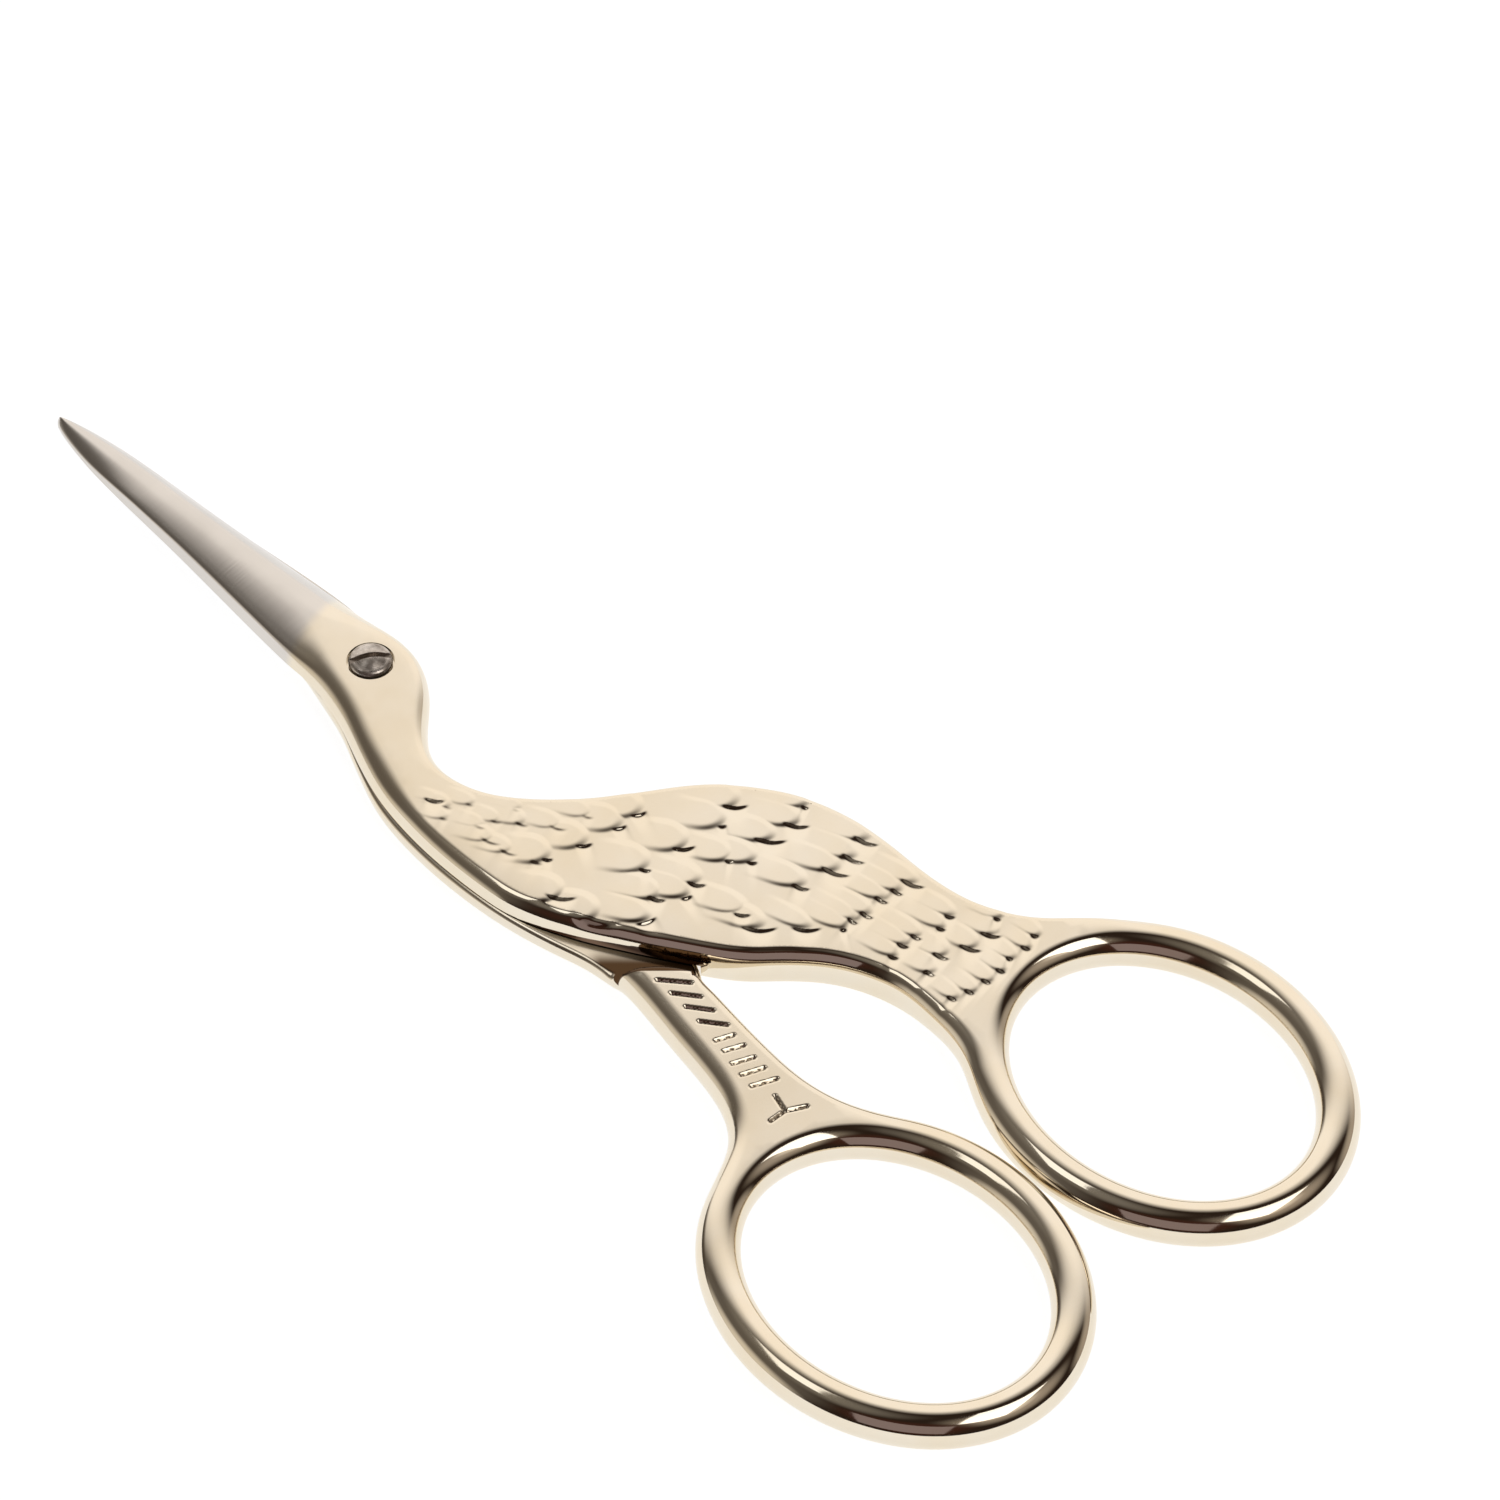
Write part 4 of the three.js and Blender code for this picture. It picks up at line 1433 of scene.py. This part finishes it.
@dataclass(frozen=True)
class RoomPatch:
    """One soft patch of colour in the room round the table, by direction and spread in degrees."""

    name: str
    azimuth: float
    elevation: float
    inner: float
    outer: float
    colour: str


@dataclass
class Studio:
    """Camera, lamps, room and the white table. The lamps' distance and the clipping are in metres."""

    target: tuple[float, float, float] = (23.609, 15.344, 1.6)
    towards_camera: Pair = (0.73669, -0.67623)
    elevation: float = 50.0
    distance: float = 700.0
    focal_pixels: float = 9786.0
    picture_pixels: float = 1500.0
    sensor: float = 36.0
    clip: Pair = (0.05, 50.0)
    table_radius: float = 6000.0
    table_height: float = -0.1
    table_corners: int = 128
    table_tooth: float = 1.2
    table_hex: str = "#AFAFAF"
    table_tooth_hex: str = "#A9A9A9"
    table_glow_hex: str = "#EEEFF0"
    lamp_distance: float = 1.3
    softboxes: tuple[Softbox, ...] = (
        Softbox("softbox_right", 56.0, 62.0, 38.0, 0.95, 0.56, 1.5, "#FFFFFF"),
        Softbox("softbox_left", -102.0, 66.0, -25.0, 0.62, 0.26, 1.1, "#FFFFFF"),
        Softbox("window", -13.0, 30.0, 0.0, 0.92, 0.86, 0.25, "#E9DCE2"),
    )
    room_hex: str = "#291F19"
    room_strength: float = 1.15
    patches: tuple[RoomPatch, ...] = (
        RoomPatch("spill round the left lamp", -100.0, 60.0, 4.0, 32.0, "#76716B"),
        RoomPatch("spill round the right lamp", 60.0, 48.0, 4.0, 38.0, "#A0958A"),
        RoomPatch("spill under the right lamp", 54.0, 54.0, 2.0, 20.0, "#DCD1C5"),
        RoomPatch("low on the left", -92.0, 18.0, 14.0, 48.0, "#605A54"),
        RoomPatch("pale by the table on the left", -85.0, 0.0, 3.0, 32.0, "#D2CBC0"),
        RoomPatch("reddish round the window", -11.0, 34.0, 14.0, 36.0, "#3C231B"),
        RoomPatch("pale corner on the right", 118.0, 4.0, 6.0, 30.0, "#A2988D"),
        RoomPatch("pale wall behind the table", 180.0, 12.0, 32.0, 59.0, "#FFF9F3"),
        RoomPatch("dark corner on the left", -128.0, -2.0, 4.0, 22.0, "#443C35"),
    )

    def direction(self, azimuth: float, elevation: float) -> Vector:
        """Unit vector towards a place in the room.

        Args:
            azimuth: degrees from the camera towards the right of the picture.
            elevation: degrees above the table.

        Returns:
            The vector.
        """
        turn, rise = math.radians(azimuth), math.radians(elevation)
        ahead = Vector((*self.towards_camera, 0.0))
        right = Vector((-self.towards_camera[1], self.towards_camera[0], 0.0))
        flat = ahead * math.cos(turn) + right * math.sin(turn)
        return (flat * math.cos(rise) + Vector((0.0, 0.0, math.sin(rise)))).normalized()

    def build_camera(self) -> None:
        """Puts the camera at the photograph's viewing angle."""
        data = bpy.data.cameras.new("camera")
        data.sensor_fit = "HORIZONTAL"
        data.sensor_width = self.sensor
        data.lens = self.sensor * self.focal_pixels / self.picture_pixels
        data.clip_start, data.clip_end = self.clip
        camera = bpy.data.objects.new("camera", data)
        view = self.direction(0.0, self.elevation)
        camera.location = (Vector(self.target) + view * self.distance) * MM
        camera.rotation_euler = view.to_track_quat("Z", "Y").to_euler()
        bpy.context.scene.collection.objects.link(camera)
        bpy.context.scene.camera = camera

    def build_lamps(self) -> None:
        """Hangs the softboxes so that they face the scissors."""
        centre = Vector(self.target) * MM
        for box in self.softboxes:
            data = bpy.data.lights.new(box.name, "AREA")
            data.shape = "RECTANGLE"
            data.size, data.size_y = box.width, box.height
            data.energy = box.radiance * math.pi * box.width * box.height
            data.color = linear(box.colour)[:3]
            lamp = bpy.data.objects.new(box.name, data)
            away = self.direction(box.azimuth, box.elevation)
            lamp.location = centre + away * self.lamp_distance
            roll = Quaternion((0.0, 0.0, 1.0), math.radians(box.roll))
            lamp.rotation_euler = (away.to_track_quat("Z", "Y") @ roll).to_euler()
            lamp.visible_camera = False
            bpy.context.scene.collection.objects.link(lamp)

    def build_room(self) -> None:
        """Colours the room: dark overhead, with its patches laid over each other in order."""
        world = bpy.data.worlds.new("studio_room")
        world.use_nodes = True
        tree = world.node_tree
        tree.nodes.clear()
        place = add_node(tree, "TexCoord", out="Generated")
        colour = linear(self.room_hex)
        for patch in self.patches:
            towards = self.direction(patch.azimuth, patch.elevation)
            facing = add_node(tree, "VectorMath", {0: place, 1: towards}, "Value", operation="DOT_PRODUCT")
            share = add_node(tree, "MapRange", {
                "Value": facing, "From Min": math.cos(math.radians(patch.outer)),
                "From Max": math.cos(math.radians(patch.inner))}, interpolation_type="SMOOTHSTEP")
            colour = add_node(tree, "Mix", {0: share, 6: colour, 7: linear(patch.colour)}, 2,
                              data_type="RGBA")
        shine = add_node(tree, "Background", {"Color": colour, "Strength": self.room_strength})
        add_node(tree, "OutputWorld", {"Surface": shine})
        bpy.context.scene.world = world

    def build_table(self) -> None:
        """Lays the white table: matte board that keeps the shadow, white to the eye and in the metal."""
        points = [(x, y, self.table_height) for x, y in circle(self.table_radius, self.table_corners)]
        table = mesh_object("table", np.array(points), [tuple(range(self.table_corners))])
        material, tree = new_tree("white_matte_board")
        place = add_node(tree, "TexCoord", out="Object")
        tooth = add_node(tree, "TexNoise", {"Vector": place, "Scale": 1.0 / (self.table_tooth * MM)}, "Fac")
        board = add_node(tree, "Mix", {
            0: tooth, 6: linear(self.table_hex), 7: linear(self.table_tooth_hex)}, 2, data_type="RGBA")
        matte = add_node(tree, "BsdfDiffuse", {"Color": board})
        seen = 0.0
        for ray in ("Is Camera Ray", "Is Glossy Ray", "Is Transmission Ray"):
            kind = add_node(tree, "LightPath", out=ray)
            seen = add_node(tree, "Math", {0: seen, 1: kind}, operation="ADD", use_clamp=True)
        glow = add_node(tree, "Emission", {"Color": linear(self.table_glow_hex), "Strength": seen})
        both = add_node(tree, "AddShader", {0: matte, 1: glow})
        add_node(tree, "OutputMaterial", {"Surface": both})
        table.data.materials.append(material)

    def build(self) -> None:
        """Sets up the whole studio."""
        self.build_camera()
        self.build_lamps()
        self.build_room()
        self.build_table()
        bpy.context.scene.view_settings.view_transform = "Standard"


def main() -> None:
    """Builds the scissors and the studio."""
    logging.basicConfig(level=logging.INFO, format="%(name)s: %(message)s")
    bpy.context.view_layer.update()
    Studio().build()
    for maker in (FrontHalf(), RearHalf(), PivotScrew()):
        piece = maker.build()
        LOG.info("%s: %d points, %d faces", piece.name, len(piece.data.vertices), len(piece.data.polygons))


if __name__ == "__main__":
    main()
